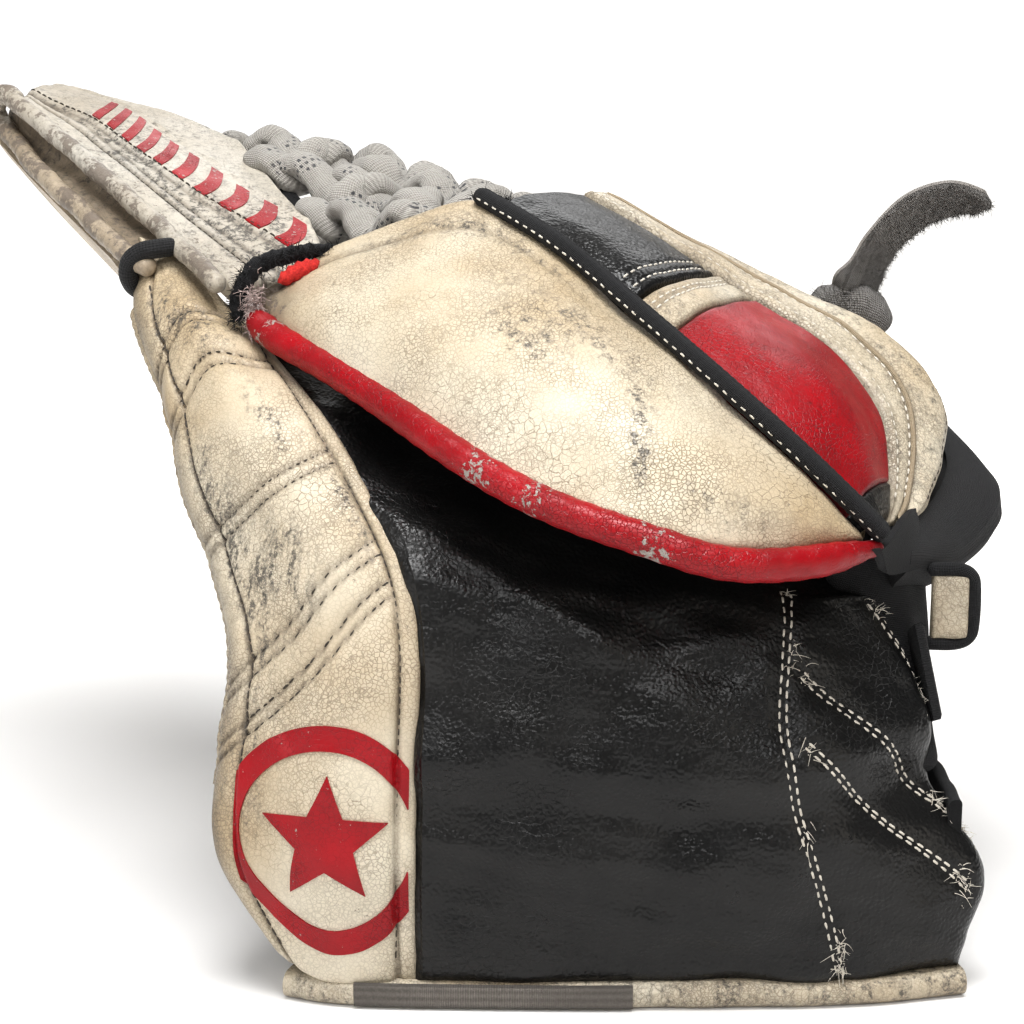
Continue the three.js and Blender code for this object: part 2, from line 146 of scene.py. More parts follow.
class Shader:
    """A material under construction. Its methods add nodes and give Values back."""

    def __init__(self, name):
        self.material = bpy.data.materials.new(name)
        self.material.use_nodes = True
        self.tree = self.material.node_tree
        self.surface = self.tree.nodes["Principled BSDF"]
        self.coord = self.node("TexCoord", "Object", {})

    def node(self, kind, output, inputs, **props):
        made = self.tree.nodes.new("ShaderNode" + kind)
        for key, value in props.items():
            setattr(made, key, value)
        for key, value in inputs.items():
            self.set(made.inputs[key], value)
        return Value(self, made.outputs[output])

    def set(self, socket, value):
        if isinstance(value, Value):
            self.tree.links.new(value.socket, socket)
        else:
            socket.default_value = value

    def noise(self, scale, detail=4, vector=None, rough=0.55):
        inputs = {"Vector": vector or self.coord, "Scale": scale, "Detail": detail, "Roughness": rough}
        return self.node("TexNoise", "Fac", inputs)

    def cells(self, scale, feature="DISTANCE_TO_EDGE", vector=None):
        inputs = {"Vector": vector or self.coord, "Scale": scale}
        return self.node("TexVoronoi", "Distance", inputs, feature=feature)

    def warp(self, scale, amount):
        """Coordinates pushed about by noise, so that cells don't look regular."""
        cloud = self.node("TexNoise", "Color", {"Vector": self.coord, "Scale": scale, "Detail": 3})
        push = self.node("VectorMath", 0, {0: cloud, 1: (amount,) * 3}, operation="MULTIPLY")
        return self.node("VectorMath", 0, {0: self.coord, 1: push}, operation="ADD")

    def stretch(self, scale, turn=(0, 0, 0)):
        return self.node("Mapping", 0, {"Vector": self.coord, "Scale": scale, "Rotation": turn})

    def math(self, operation, a, b=0.5):
        return self.node("Math", 0, {0: a, 1: b}, operation=operation)

    def remap(self, value, low, high, to_low=0.0, to_high=1.0):
        inputs = {"Value": value, "From Min": low, "From Max": high, "To Min": to_low, "To Max": to_high}
        return self.node("MapRange", 0, inputs)

    def clouds(self, scale, detail, *limits):
        return self.remap(self.noise(scale, detail), *limits)

    def cracks(self, scale, vector, width):
        """1 along the borders of cells, and 0 away from them."""
        return self.remap(self.cells(scale, vector=vector), 0.0, width, 1, 0)

    def mix(self, share, a, b):
        return self.node("Mix", 2, {0: share, 6: a, 7: b}, data_type="RGBA")

    def attribute(self, name):
        return self.node("Attribute", "Fac", {}, attribute_name=name)

    def bump(self, height, distance, strength):
        normal = self.node("Bump", "Normal", {"Height": height, "Distance": distance, "Strength": strength})
        self.set(self.surface.inputs["Normal"], normal)

    def finish(self, colour, roughness, **fixed):
        self.set(self.surface.inputs["Base Color"], colour)
        self.set(self.surface.inputs["Roughness"], roughness)
        for key, value in fixed.items():
            self.surface.inputs[key.replace("_", " ")].default_value = value
        return self.material


def tone(r, g, b):
    return (r, g, b, 1.0)


# Dark brown for soiling, and for painted shade in seams, grooves, creases and along edges
GRIME_AND_SHADE_TONE = tone(0.075, 0.055, 0.038)
SCUFF_TONE = tone(0.05, 0.046, 0.042)
BARE_TONE = tone(0.17, 0.14, 0.115)  # hide where the coat has gone


def worn_leather(name, light, warm, crack_tone, cell=880, crack_share=0.62):
    """Old coated leather: a crazed coat, soiling and painted shade in the seams and along the edges, black
    scuffs and a few rubbed patches.
    """
    s = Shader(name)
    fine = s.cracks(cell, s.warp(420, 0.0011), 0.13)
    broad = s.cracks(cell * 0.5, s.warp(260, 0.0028), 0.05)
    fine = fine * s.clouds(38, 3, 0.36, 0.62, 0.25, 1.0)
    cracks = s.math("MAXIMUM", fine, broad * s.clouds(27, 2, 0.42, 0.58))
    colour = s.mix(s.clouds(17, 5, 0.35, 0.68), light, warm)
    colour = s.mix(cracks * crack_share, colour, crack_tone)
    # Mesh mask of soiling and of painted shade in sewn lines, creases and along edges
    grime = s.attribute("grime") * s.clouds(150, 5, 0.25, 0.6, 0.45, 1.0)
    colour = s.mix(grime, colour, GRIME_AND_SHADE_TONE)
    speck = s.remap(s.noise(760, 8, None, 0.75), 0.42, 0.62)
    streaks = s.remap(s.noise(300, 7, s.stretch((1.0, 1.0, 0.16), (0.35, 0.55, 0.25)), 0.7), 0.44, 0.62)
    rub = s.attribute("scuff") * 0.85 + s.clouds(21, 5, 0.52, 0.78, 0.0, 0.45)
    colour = s.mix(s.math("MINIMUM", speck * streaks * (rub * 2.1), 0.86), colour, SCUFF_TONE)
    worn = s.remap(s.noise(420, 7, None, 0.7) + s.attribute("chip") * 0.2, 0.66, 0.7, 0.0, 0.85)
    colour = s.mix(worn, colour, BARE_TONE)
    s.bump(s.noise(1500, 3) * 0.35 - cracks - worn * 0.7, 0.00016, 0.8)
    return s.finish(colour, s.clouds(60, 4, 0.3, 0.7, 0.36, 0.55))


def black_leather(name):
    """Glossy pebbled leather with a few creases, and pale dust where it is rubbed."""
    s = Shader(name)
    pebble = s.cells(1000, "SMOOTH_F1", s.warp(500, 0.0008))
    crease = s.cracks(430, s.warp(200, 0.003), 0.06) * s.clouds(30, 3, 0.45, 0.65)
    colour = s.mix(s.clouds(40, 5, 0.35, 0.7), tone(0.007, 0.007, 0.0072), tone(0.015, 0.0145, 0.014))
    dust = s.remap(s.noise(520, 8, None, 0.8) + s.attribute("scuff") * 0.2, 0.69, 0.82, 0, 0.3)
    colour = s.mix(dust, colour, tone(0.09, 0.08, 0.07))
    s.bump(pebble * -1.5 - crease * 0.5, 0.00022, 0.8)
    return s.finish(colour, s.clouds(90, 4, 0.3, 0.7, 0.26, 0.39), Specular_IOR_Level=0.38)


def red_leather(name):
    """Red coated leather, crazed and dusty, with pale chips down to the hide."""
    s = Shader(name)
    cracks = s.cracks(760, s.warp(360, 0.0013), 0.09) * s.clouds(50, 3, 0.4, 0.6, 0.2, 1)
    colour = s.mix(s.clouds(60, 4, 0.35, 0.65), tone(0.34, 0.004, 0.010), tone(0.24, 0.003, 0.007))
    colour = s.mix(cracks * 0.55, colour, tone(0.07, 0.004, 0.006))
    # Darker where the mesh marks soiling and painted shade: panel borders, sewn lines and the roll's tucked
    # end
    colour = s.mix(s.attribute("grime"), colour, tone(0.05, 0.004, 0.006))
    chips = s.remap(s.noise(520, 7, None, 0.7) + s.attribute("chip") * 0.19, 0.7, 0.72)
    colour = s.mix(chips, colour, tone(0.33, 0.3, 0.27))
    dust = s.noise(500, 8, s.stretch((1, 1, 0.3)), 0.8) + s.attribute("scuff") * 0.25
    colour = s.mix(s.remap(dust, 0.7, 0.85, 0, 0.6), colour, tone(0.05, 0.012, 0.012))
    s.bump(s.noise(800, 3) * 0.3 - (cracks + chips), 0.0002, 0.6)
    return s.finish(colour, s.clouds(120, 4, 0.3, 0.7, 0.32, 0.46), Specular_IOR_Level=0.4)


def woven(name, dark, light, pitch=1.1, roughness=0.8, fleck=None, depth=0.00025, sheen=0.05):
    """Woven or braided yarn. The mesh gives mm along and around the piece."""
    s = Shader(name)
    along, around = s.attribute("along"), s.attribute("around")
    a, b = along * (2 * math.pi / pitch), around * (2 * math.pi / pitch)
    weave = s.math("SINE", a + b) * s.math("SINE", a - b)
    fuzz = s.noise(1400, 6, None, 0.8)
    colour = s.mix(s.remap(weave * 0.25 + fuzz, 0.2, 0.85), dark, light)
    colour = s.mix(s.clouds(45, 4, 0.45, 0.75) * 0.45, colour, dark)
    if fleck:
        # small dark ticks in groups, in staggered columns
        column = s.math("DIVIDE", along, 2.5)
        rows = s.math("FRACT", s.math("DIVIDE", around, 2.3) + s.math("FLOOR", column) * 0.5)
        tick = s.math("LESS_THAN", s.math("FRACT", column), 0.52) * s.math("LESS_THAN", rows, 0.48)
        tick = tick * s.clouds(75, 1, 0.57, 0.6)
        colour = s.mix(tick * s.clouds(900, 3, 0.3, 0.5, 0.4, 0.9), colour, fleck)
    s.bump(weave * 0.6 + fuzz * 0.9, depth, 0.9)
    return s.finish(colour, roughness, Sheen_Weight=sheen, Sheen_Roughness=0.6, Specular_IOR_Level=0.3)


def matte(name, base, light, roughness, grain=700, depth=0.0001):
    """A plain dull surface with a fine grain."""
    s = Shader(name)
    cloud = s.noise(grain, 5)
    s.bump(cloud, depth, 0.6)
    gloss = s.clouds(80, 3, 0.3, 0.7, roughness - 0.06, roughness + 0.06)
    return s.finish(s.mix(s.remap(cloud, 0.3, 0.7), base, light), gloss)


WHITE = worn_leather("look_white", tone(0.65, 0.59, 0.475), tone(0.47, 0.37, 0.24), tone(0.12, 0.085, 0.05))
T_WHITE = worn_leather("look_t_white", tone(0.55, 0.515, 0.45), tone(0.44, 0.39, 0.315),
                       tone(0.12, 0.1, 0.08), 800, 0.35)
TAN_LIP = worn_leather("look_tan", tone(0.5, 0.42, 0.32), tone(0.35, 0.28, 0.2),
                       tone(0.1, 0.08, 0.06), 800, 0.3)
BLACK = black_leather("black_leather")
RED = red_leather("red_leather")
NYLON = woven("black_nylon", tone(0.004, 0.004, 0.0045), tone(0.02, 0.02, 0.022), 0.9, 0.78)
ELASTIC = woven("black_elastic", tone(0.004, 0.004, 0.004), tone(0.022, 0.022, 0.024), 1.6, 0.6)
LACE = woven("grey_lace", tone(0.2, 0.187, 0.168), tone(0.5, 0.475, 0.435), 1.5, 0.92,
             tone(0.012, 0.014, 0.022), 0.0003, 0.25)
HOOK = woven("hook_and_loop", tone(0.035, 0.032, 0.029), tone(0.27, 0.25, 0.23), 1.3, 0.98, None, 0.0006, 0.3)
HOOK_BACK = woven("strap_backing", tone(0.16, 0.15, 0.14), tone(0.33, 0.31, 0.29), 0.9, 0.9)
PATCH = woven("name_patch", tone(0.1, 0.09, 0.08), tone(0.22, 0.2, 0.18), 0.8, 0.85)
PIPING = woven("tan_piping", tone(0.25, 0.19, 0.12), tone(0.5, 0.42, 0.31), 1.0, 0.8)
PALE_THREAD = matte("pale_thread", tone(0.5, 0.46, 0.4), tone(0.72, 0.68, 0.6), 0.8, 3000, 0.00005)
FRAY = matte("frayed_yarn", tone(0.2, 0.15, 0.14), tone(0.55, 0.45, 0.42), 0.9, 700, 0.00005)
DARK_THREAD = matte("dark_thread", tone(0.03, 0.025, 0.02), tone(0.09, 0.075, 0.06), 0.8, 3000, 0.00005)
PLASTIC = matte("plastic_sheet", tone(0.02, 0.02, 0.022), tone(0.04, 0.04, 0.043), 0.42)
LINING = matte("lining", tone(0.012, 0.012, 0.013), tone(0.035, 0.035, 0.037), 0.95, 1500, 0.0004)
RED_FLEECE = matte("red_fleece", tone(0.28, 0.01, 0.01), tone(0.6, 0.04, 0.03), 0.95, 1600, 0.0006)

# The floor glows more with distance, so that it runs into the white behind it; less in front
s = Shader("floor")
away = s.node("VectorMath", "Value", {0: s.coord}, operation="LENGTH")
behind = s.node("SeparateXYZ", "Y", {"Vector": s.coord})
glowing = s.remap(away, 0.15, 0.8, 0.06, 0.85) * s.remap(behind, -0.35, 0.15, 0.3, 1.0)
s.set(s.surface.inputs["Emission Strength"], s.math("MAXIMUM", glowing, s.remap(away, 0.9, 1.4, 0.0, 0.85)))
s.surface.inputs["Emission Color"].default_value = WARM_WHITE
bpy.ops.mesh.primitive_plane_add(size=12)
floor = bpy.context.object
floor.name = "floor"
floor.data.materials.append(s.finish(tone(0.82, 0.81, 0.8), s.clouds(3, 2, 0.3, 0.7, 0.65, 0.8)))

SLOTS = {
    "white_leather": (WHITE, T_WHITE, TAN_LIP),
    "black_leather": (BLACK,),
    "red_leather": (RED, RED_FLEECE),
    "nylon": (NYLON, DARK_THREAD),
    "elastic": (ELASTIC,),
    "lace": (LACE, PALE_THREAD, FRAY),
    "hook_and_loop": (HOOK, HOOK_BACK),
    "name_patch": (PATCH,),
    "piping": (PIPING,),
    "plastic_sheet": (PLASTIC,),
    "lining": (LINING,),
}
SLOT_OF = {material.name: slot for slot, materials in SLOTS.items() for material in materials}

# ---- Curves and numbers ----


def spline(points, t):
    """Catmull-Rom curve through points along their first axis, at t from 0 to 1."""
    points = np.asarray(points, float)
    points = np.concatenate([2 * points[:1] - points[1:2], points, 2 * points[-1:] - points[-2:-1]])
    t = np.atleast_1d(t)
    s = t * (len(points) - 3)
    i = np.clip(s.astype(int), 0, len(points) - 4)
    w = (s - i)[:, None]
    n = np.arange(len(t))
    a, b, c, d = (points[i + k] if points.ndim == 2 else points[i + k, n] for k in range(4))
    return b + w * (c - a) / 2 + w**2 * (a - 2.5 * b + 2 * c - d / 2) + w**3 * (3 * b - a - 3 * c + d) / 2


def unit(v):
    return v / np.maximum(np.linalg.norm(v, axis=-1, keepdims=True), 1e-9)


def pair(u, v):
    """u and v as arrays of one length."""
    return np.broadcast_arrays(np.atleast_1d(u).astype(float), np.atleast_1d(v).astype(float))


def lengths(line):
    """mm along a line to each of its points."""
    return np.concatenate([[0], np.cumsum(np.linalg.norm(np.diff(line, axis=0), axis=1))])


def sample(at, along, values):
    """Values of a line's points, at so many mm along it."""
    return np.stack([np.interp(at, along, values[:, i]) for i in range(3)], -1)


def dense(route, step=1.0):
    route = np.array(route, float)
    length = np.sum(np.linalg.norm(np.diff(route, axis=0), axis=1))
    return spline(route, np.linspace(0, 1, max(8, int(length / step))))


def gauss(x, width):
    return np.exp(-((x / width) ** 2))


def step_up(x, width):
    return 1 / (1 + np.exp(-np.clip(x / width, -30, 30)))


def dome(x):
    """0 at 0 and 1, and 1 halfway."""
    return np.sin(math.pi * np.clip(x, 0, 1))


def ripple(points, wavelength, seed):
    """Smooth noise from about -1 to 1: a sum of waves in fixed random directions."""
    rng = np.random.default_rng(seed)
    total = 0
    for _ in range(7):
        direction = unit(rng.normal(size=3)) / wavelength * rng.uniform(0.6, 1.6)
        total = total + np.sin(2 * math.pi * (points @ direction) + rng.uniform(0, 7))
    return total / 3.2


# ---- Meshes ----

BAR_STEP = 1.6  # mm between the sections of a bar


def piece(name, mesh, material, body, nodes=(), fill=None):
    """A Blender object from a mesh of (points in mm, faces, attributes).

    body is a name, or (body, body, start, end) for a piece across a joint. nodes are the CAD nodes
    that the piece stands for. fill, given for a padded one, is not used.
    """
    points, faces, attributes = mesh
    data = bpy.data.meshes.new(name)
    data.from_pydata(row(points).tolist(), [], [list(f) for f in faces])
    data.update()
    for key, values in attributes.items():
        layer = data.attributes.new(key, "FLOAT", "POINT")
        layer.data.foreach_set("value", np.asarray(values, np.float32).ravel())
    data.polygons.foreach_set("use_smooth", [True] * len(data.polygons))
    data.set_sharp_from_angle(angle=SHARP)
    data.materials.append(material)
    obj = bpy.data.objects.new(name, data)
    bpy.context.scene.collection.objects.link(obj)
    if isinstance(body, str):
        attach(obj, body)
    else:
        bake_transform(obj)
    if nodes:
        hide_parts(*nodes)
    return obj


def join(parts):
    """Several meshes of (points, faces, attributes) as one."""
    points, faces, attributes, base = [], [], {}, 0
    for p, f, a in parts:
        points.append(p)
        faces += [[i + base for i in q] for q in f]
        for k, x in a.items():
            attributes.setdefault(k, []).append(x)
        base += len(p)
    return np.concatenate(points), faces, {k: np.concatenate(x) for k, x in attributes.items()}


def quads(lines, columns, offset=0, wrap=False):
    """Quads of a grid of points, one line after another."""
    j, i = np.meshgrid(np.arange(lines - 1), np.arange(columns if wrap else columns - 1), indexing="ij")
    j, i = j.ravel(), i.ravel()
    k = (i + 1) % columns
    start, end = j * columns, (j + 1) * columns
    return np.stack([start + i, start + k, end + k, end + i], 1) + offset


def slab(front, back, lines, columns):
    """Points and faces of a closed slab between two grids of points."""
    count = len(front)
    ring = np.concatenate([np.arange(columns), np.arange(2, lines + 1) * columns - 1,
                           (lines - 1) * columns + np.arange(columns - 2, -1, -1),
                           np.arange(lines - 2, 0, -1) * columns])
    nxt = np.roll(ring, -1)
    sides = np.stack([ring, ring + count, nxt + count, nxt], 1)
    faces = np.concatenate([quads(lines, columns), quads(lines, columns, count)[:, ::-1], sides])
    return np.concatenate([front, back]), faces


def tube_faces(lines, around):
    """Faces of a closed tube: its side and its two ends."""
    ends = [list(range(around))[::-1], [(lines - 1) * around + i for i in range(around)]]
    return quads(lines, around, wrap=True).tolist() + ends


def frames(points):
    """Tangents and steady cross directions along a line of points."""
    t = unit(np.gradient(points, axis=0))
    side = np.cross(t[0], (0, 0, 1) if abs(t[0][2]) < 0.9 else (0, 1, 0))
    sides = []
    for k in t:
        side = unit(side - k * (side @ k))
        sides.append(side)
    sides = np.array(sides)
    return t, sides, np.cross(t, sides)


def tube_mesh(line, radius, around=20, squash=1.0, flat=None, bumps=None, ends=True):
    """A closed tube along a line. radius may vary along it; squash flattens it in the direction flat."""
    t, a, b = frames(line)
    if flat is not None:
        b = unit(flat - t * np.sum(flat * t, axis=1, keepdims=True))
        a = np.cross(b, t)
    radius = np.broadcast_to(radius, len(line)).astype(float)
    far = lengths(line)
    turns = np.linspace(0, 2 * math.pi, around, endpoint=False) - math.pi / 2
    along, theta = np.meshgrid(far, turns, indexing="ij")
    size = np.repeat(radius[:, None], around, 1)
    if bumps is not None:
        size = size + bumps(along, theta, line)
    if ends:
        from_end = np.minimum(along, far[-1] - along)
        cap = np.clip(from_end / np.maximum(size, 1e-6), 0, 1)
        size = size * np.sqrt(np.maximum(1 - (1 - cap) ** 2, 0.003))
    across, up = np.cos(theta) * size, np.sin(theta) * size * squash
    points = line[:, None] + a[:, None] * across[..., None] + b[:, None] * up[..., None]
    attributes = {"along": along.ravel(), "around": (theta * np.mean(radius)).ravel()}
    return points.reshape(-1, 3), tube_faces(len(line), around), attributes


def tube(name, route, radius, material, body, nodes=(), fill=None, step=1.0, extra=None, **shape):
    """A piece along a route. radius may be a function of the share of the way along it."""
    line = dense(route, step)
    share = np.linspace(0, 1, len(line))
    points, faces, attributes = tube_mesh(line, radius(share) if callable(radius) else radius, **shape)
    if extra:
        attributes.update(extra(np.repeat(share, len(points) // len(line)), points))
    piece(name, (points, faces, attributes), material, body, nodes, fill)


def rounded(x0, x1, z0, z1, r, n=6):
    """A rounded box as a profile, anticlockwise."""
    corners = ((x1 - r, z0 + r, -90), (x1 - r, z1 - r, 0), (x0 + r, z1 - r, 90), (x0 + r, z0 + r, 180))
    out = []
    for x, z, start in corners:
        for k in range(n + 1):
            a = math.radians(start + 90 * k / n)
            out.append((x + r * math.cos(a), z + r * math.sin(a)))
    return np.array(out)


def bar(name, line, profile, material, nodes, fill=None, noise=0.25, extra=None):
    """A piece of the palm half: an (across, height) profile carried along a line drawn in plan."""
    route = dense([[x, y, 0] for x, y in line], BAR_STEP)
    t = unit(np.gradient(route, axis=0))
    out = np.stack([t[:, 1], -t[:, 0], 0 * t[:, 0]], 1)
    points = route[:, None] + out[:, None] * profile[None, :, :1] + UP * profile[None, :, 1:]
    n, m = points.shape[:2]
    swell = ripple(points, 22, 30)[..., None] * noise
    points = (points + unit(points - points.mean(axis=1, keepdims=True)) * swell).reshape(-1, 3)
    attributes = {"along": np.repeat(np.arange(n) * BAR_STEP, m), "around": np.tile(np.arange(m) * 1.0, n)}
    if extra:
        attributes.update(extra(points))
    piece(name, (points, tube_faces(n, m), attributes), material, PALM_HALF, nodes, fill)


# ---- Faces and pads ----


class Face:
    """The CAD's surface through rows of points: u runs along a row, v from the first row to the last."""

    NUDGE = 0.004

    def __init__(self, rows=()):
        self.rows = [np.array(r, float) for r in rows]

    def at(self, u, v):
        u, v = pair(u, v)
        return spline(np.stack([spline(r, u) for r in self.rows]), v)

    def slopes(self, u, v):
        """Steps along u and v, in mm for each unit of u and v."""
        e = self.NUDGE
        along = self.at(u + e, v) - self.at(u - e, v)
        up = self.at(u, v + e) - self.at(u, v - e)
        return along / (2 * e), up / (2 * e)


def eased(low, high, n):
    """Even steps, closer together near the ends, so that the rounding there is smooth."""
    t = np.linspace(0, 1, n + 1)
    return low + (high - low) * (0.6 * t + 0.4 * (0.5 - 0.5 * np.cos(math.pi * t)))


class Pad:
    """A stuffed piece on a stretch of a face, with rounded edges and a relief of its own.

    outer and inner are its surfaces, in mm above the face; edge is the rounding in mm, as one number
    or one each for left, right, bottom and top.
    """

    def __init__(self, face, u=(0, 1), v=(0, 1), outer=0, inner=-6, edge=3.0, relief=None):
        self.face, self.u, self.v = face, u, v
        self.outer, self.inner, self.relief = outer, inner, relief
        self.edge = edge if isinstance(edge, tuple) else (edge,) * 4

    def state(self, u, v):
        du, dv = self.face.slopes(u, v)
        lu, lv = np.linalg.norm(du, axis=1), np.linalg.norm(dv, axis=1)
        s = {"u": u, "v": v, "p": self.face.at(u, v), "lu": lu, "lv": lv, "n": unit(np.cross(du, dv))}
        s["left"], s["right"] = (u - self.u[0]) * lu, (self.u[1] - u) * lu
        s["bottom"], s["top"] = (v - self.v[0]) * lv, (self.v[1] - v) * lv
        s["border"] = np.maximum(np.minimum.reduce([s["left"], s["right"], s["bottom"], s["top"]]), 0)
        return s

    def lift(self, s):
        """Height above the face, which falls away towards the borders, and the relief's marks."""
        fall = 0 * s["border"]
        for side, edge in zip(("left", "right", "bottom", "top"), self.edge):
            x = 1 - np.clip(s[side] / edge, 0, 1)
            fall = np.maximum(fall, edge * 0.8 * (1 - np.sqrt(np.maximum(1 - x * x, 0))))
        marks = self.relief(s) if self.relief else {}
        return self.outer - fall + marks.pop("h", 0), marks

    def point(self, u, v, above=0.0):
        """Points on the finished surface, in mm, and the state there."""
        s = self.state(*pair(u, v))
        height, _ = self.lift(s)
        return s["p"] + s["n"] * (height + above)[:, None], s

    def build(self, name, material, body, nodes=(), fill=0.6, step=STEP):
        middle = self.state(np.array([np.mean(self.u)]), np.array([np.mean(self.v)]))
        nu = int(np.clip((self.u[1] - self.u[0]) * middle["lu"][0] / step, 6, 180))
        nv = int(np.clip((self.v[1] - self.v[0]) * middle["lv"][0] / step, 6, 220))
        uu, vv = np.meshgrid(eased(*self.u, nu), eased(*self.v, nv))
        s = self.state(uu.ravel(), vv.ravel())
        height, marks = self.lift(s)
        inner = self.inner(s) if callable(self.inner) else self.inner
        front = s["p"] + s["n"] * height[:, None]
        back = s["p"] + s["n"] * np.minimum(inner, height - 0.4)[:, None]
        attributes = {k: np.concatenate([np.broadcast_to(x, len(front)), np.zeros(len(front))])
                      for k, x in marks.items()}
        for key, far in (("along", s["u"] * np.mean(s["lu"])), ("around", s["v"] * np.mean(s["lv"]))):
            attributes[key] = np.tile(far, 2)
        mesh = (*slab(front, back, nv + 1, nu + 1), attributes)
        self.piece = piece(name, mesh, material, body, nodes, fill)
        return self


class Seam:
    """A line on a face, given by (u, v) points."""

    def __init__(self, face, line):
        self.uv = spline([(*p, 0) for p in line], np.linspace(0, 1, 160))[:, :2]
        self.face = face
        self.p = face.at(self.uv[:, 0], self.uv[:, 1])

    def distance(self, points):
        """mm from each point to the seam."""
        best = np.full(len(points), 1e9)
        for k in self.p:
            best = np.minimum(best, np.sum((points - k) ** 2, axis=1))
        return np.sqrt(best)

    def shifted(self, across):
        """(u, v) points of the line moved sideways on the face by that many mm."""
        u, v = self.uv.T
        du, dv = self.face.slopes(u, v)
        t = unit(np.gradient(self.p, axis=0))
        side = np.cross(unit(np.cross(du, dv)), t) * across
        lu, lv = np.linalg.norm(du, axis=1), np.linalg.norm(dv, axis=1)
        return u + np.sum(side * du, axis=1) / lu**2, v + np.sum(side * dv, axis=1) / lv**2


def straight(axis, places, low, high, n):
    """Runs for stitches: straight lines at places on one axis, from low to high on the other."""
    t = np.linspace(low, high, n)
    return [(0 * t + k, t) if axis == "u" else (t, 0 * t + k) for k in places]


def stitches(name, pad, runs, material, body, pitch=3.1, length=2.3, radius=0.33, above=0.1, seed=1):
    """Rows of separate sewn stitches on a pad. runs are (u, v) pairs of arrays."""
    rng = np.random.default_rng(seed)
    parts = []
    for u, v in runs:
        inside = (u >= pad.u[0]) & (u <= pad.u[1]) & (v >= pad.v[0]) & (v <= pad.v[1])
        p, s = pad.point(u[inside], v[inside], above)
        far = lengths(p)
        for start in np.arange(0.4, far[-1] - length, pitch):
            k = start + length * np.linspace(0, 1, 6) + rng.normal(0, 0.08)
            normal = unit(sample(k[3], far, s["n"]))
            arch = 0.22 * np.sin(np.linspace(0, math.pi, 6)) - 0.1
            parts.append(tube_mesh(sample(k, far, p) + normal * arch[:, None], radius, around=6))
    piece(name, join(parts), material, body)


def fibres(name, roots, directions, length, material, body, radius=0.12, seed=3, droop=0.4):
    """Loose threads and fluff: thin curved hairs."""
    rng = np.random.default_rng(seed)
    t = np.linspace(0, 1, 6)
    parts = []
    for p, d in zip(roots, directions):
        far = length * rng.uniform(0.4, 1.2)
        bend = rng.normal(0, 0.6, 3) + (0, 0, -droop)
        line = p + unit(d + rng.normal(0, 0.35, 3)) * far * t[:, None] + bend * far * 0.5 * t[:, None] ** 2
        parts.append(tube_mesh(line, radius * (1 - 0.7 * t), around=4, ends=False))
    piece(name, join(parts), material, body)


def spot(s, u, v, size_u, size_v):
    """A soft patch round one place of a face, for scuffs."""
    return np.exp(-(((s["u"] - u) / size_u) ** 2) - ((s["v"] - v) / size_v) ** 2)


def uneven(size, wavelength, seed, drop=0, **marks):
    """A relief that only rises and falls a little."""
    return lambda s: {"h": size * ripple(s["p"], wavelength, seed) - drop, **marks}


def cut(height, grime, distance, depth, width, shade_and_dirt, spread):
    """Height and darkening with a sewn line cut into them, at that distance from it in mm. The groove is
    darkened as painted shade, with some soiling.
    """
    return height - depth * gauss(distance, width), grime + shade_and_dirt * gauss(distance, spread)


# ---- Faces of the CAD ----

HEEL_TIP = np.array((93.0, 7.0, 116.5))
STRAP_LINE = [[103, 126, 167], [108, 124, 174], [112, 121, 184], [121, 118, 195],
              [132, 115, 200], [143, 113, 200]]
STRAP_ACROSS = unit(np.array((0.45, 0.75, -0.45)))
STRAP_WIDTH = 17.5
THUMB_U, THUMB_V = (-0.13, 0.995), (-0.01, 1.08)  # where the thumb's pad ends on its face


class DorsalFace(Face):
    """The back of the fingers. Past the ends of its rows, the panels run together at the heel tip."""

    def at(self, u, v):
        u, v = pair(u, v)
        p = super().at(np.minimum(u, 1.0) + 0.4 * np.maximum(u - 1, 0), v)
        pull = 0.93 * np.clip((u - 0.93) / 0.19, 0, 1.05) ** 1.7
        return p + (HEEL_TIP - p) * pull[:, None]


class RoundFace(Face):
    """A face whose sides draw in towards its last row, for a pad without crisp corners there."""

    def at(self, u, v):
        u, v = pair(u, v)
        squeeze = 1 - 0.22 * np.clip((v - 0.5) / 0.55, 0, 1.1) ** 2
        return super().at(0.45 + (u - 0.45) * squeeze, v)


def round_corner(u, v, corner, start):
    """Bends the square corner of a pad round, from the start values of u and v outwards."""
    reach_u, reach_v = corner[0] - start[0], corner[1] - start[1]
    a = np.clip((u - start[0]) / reach_u, 0, 1)
    b = np.clip((v - start[1]) / reach_v, 0, 1)
    return u - reach_u * a * (1 - np.sqrt(1 - b * b / 2)), v - reach_v * b * (1 - np.sqrt(1 - a * a / 2))


class ThumbFace(Face):
    """The thumb board's face, with both outer corners round."""

    def at(self, u, v):
        u, v = pair(u, v)
        u, v = round_corner(u, v, (THUMB_U[0], THUMB_V[0]), (0.5, 0.13))
        u, v = round_corner(u, v, (THUMB_U[0], THUMB_V[1]), (0.15, 0.99))
        return super().at(u + 0.3 * np.clip(u - 0.5, 0, 1) * step_up(v - 0.96, 0.03), v)


class PalmFace(Face):
    """The palm's face. Its left edge stops at the seam with the cuff, but reaches in behind the thumb."""

    def at(self, u, v):
        u, v = pair(u, v)
        return super().at(np.where(u < 0, u * (0.32 + 0.68 * step_up(v - 0.66, 0.02)), u), v)


class FlangeFace(Face):
    """The flange's face, let down at its thumb end on to the red roll."""

    def at(self, u, v):
        u, v = pair(u, v)
        down = 3.4 * np.exp(-((u / 0.3) ** 2)) * np.clip(1 - v, 0, 1.1)
        return super().at(u, v) + np.array((0, -0.35, -1)) * down[:, None]


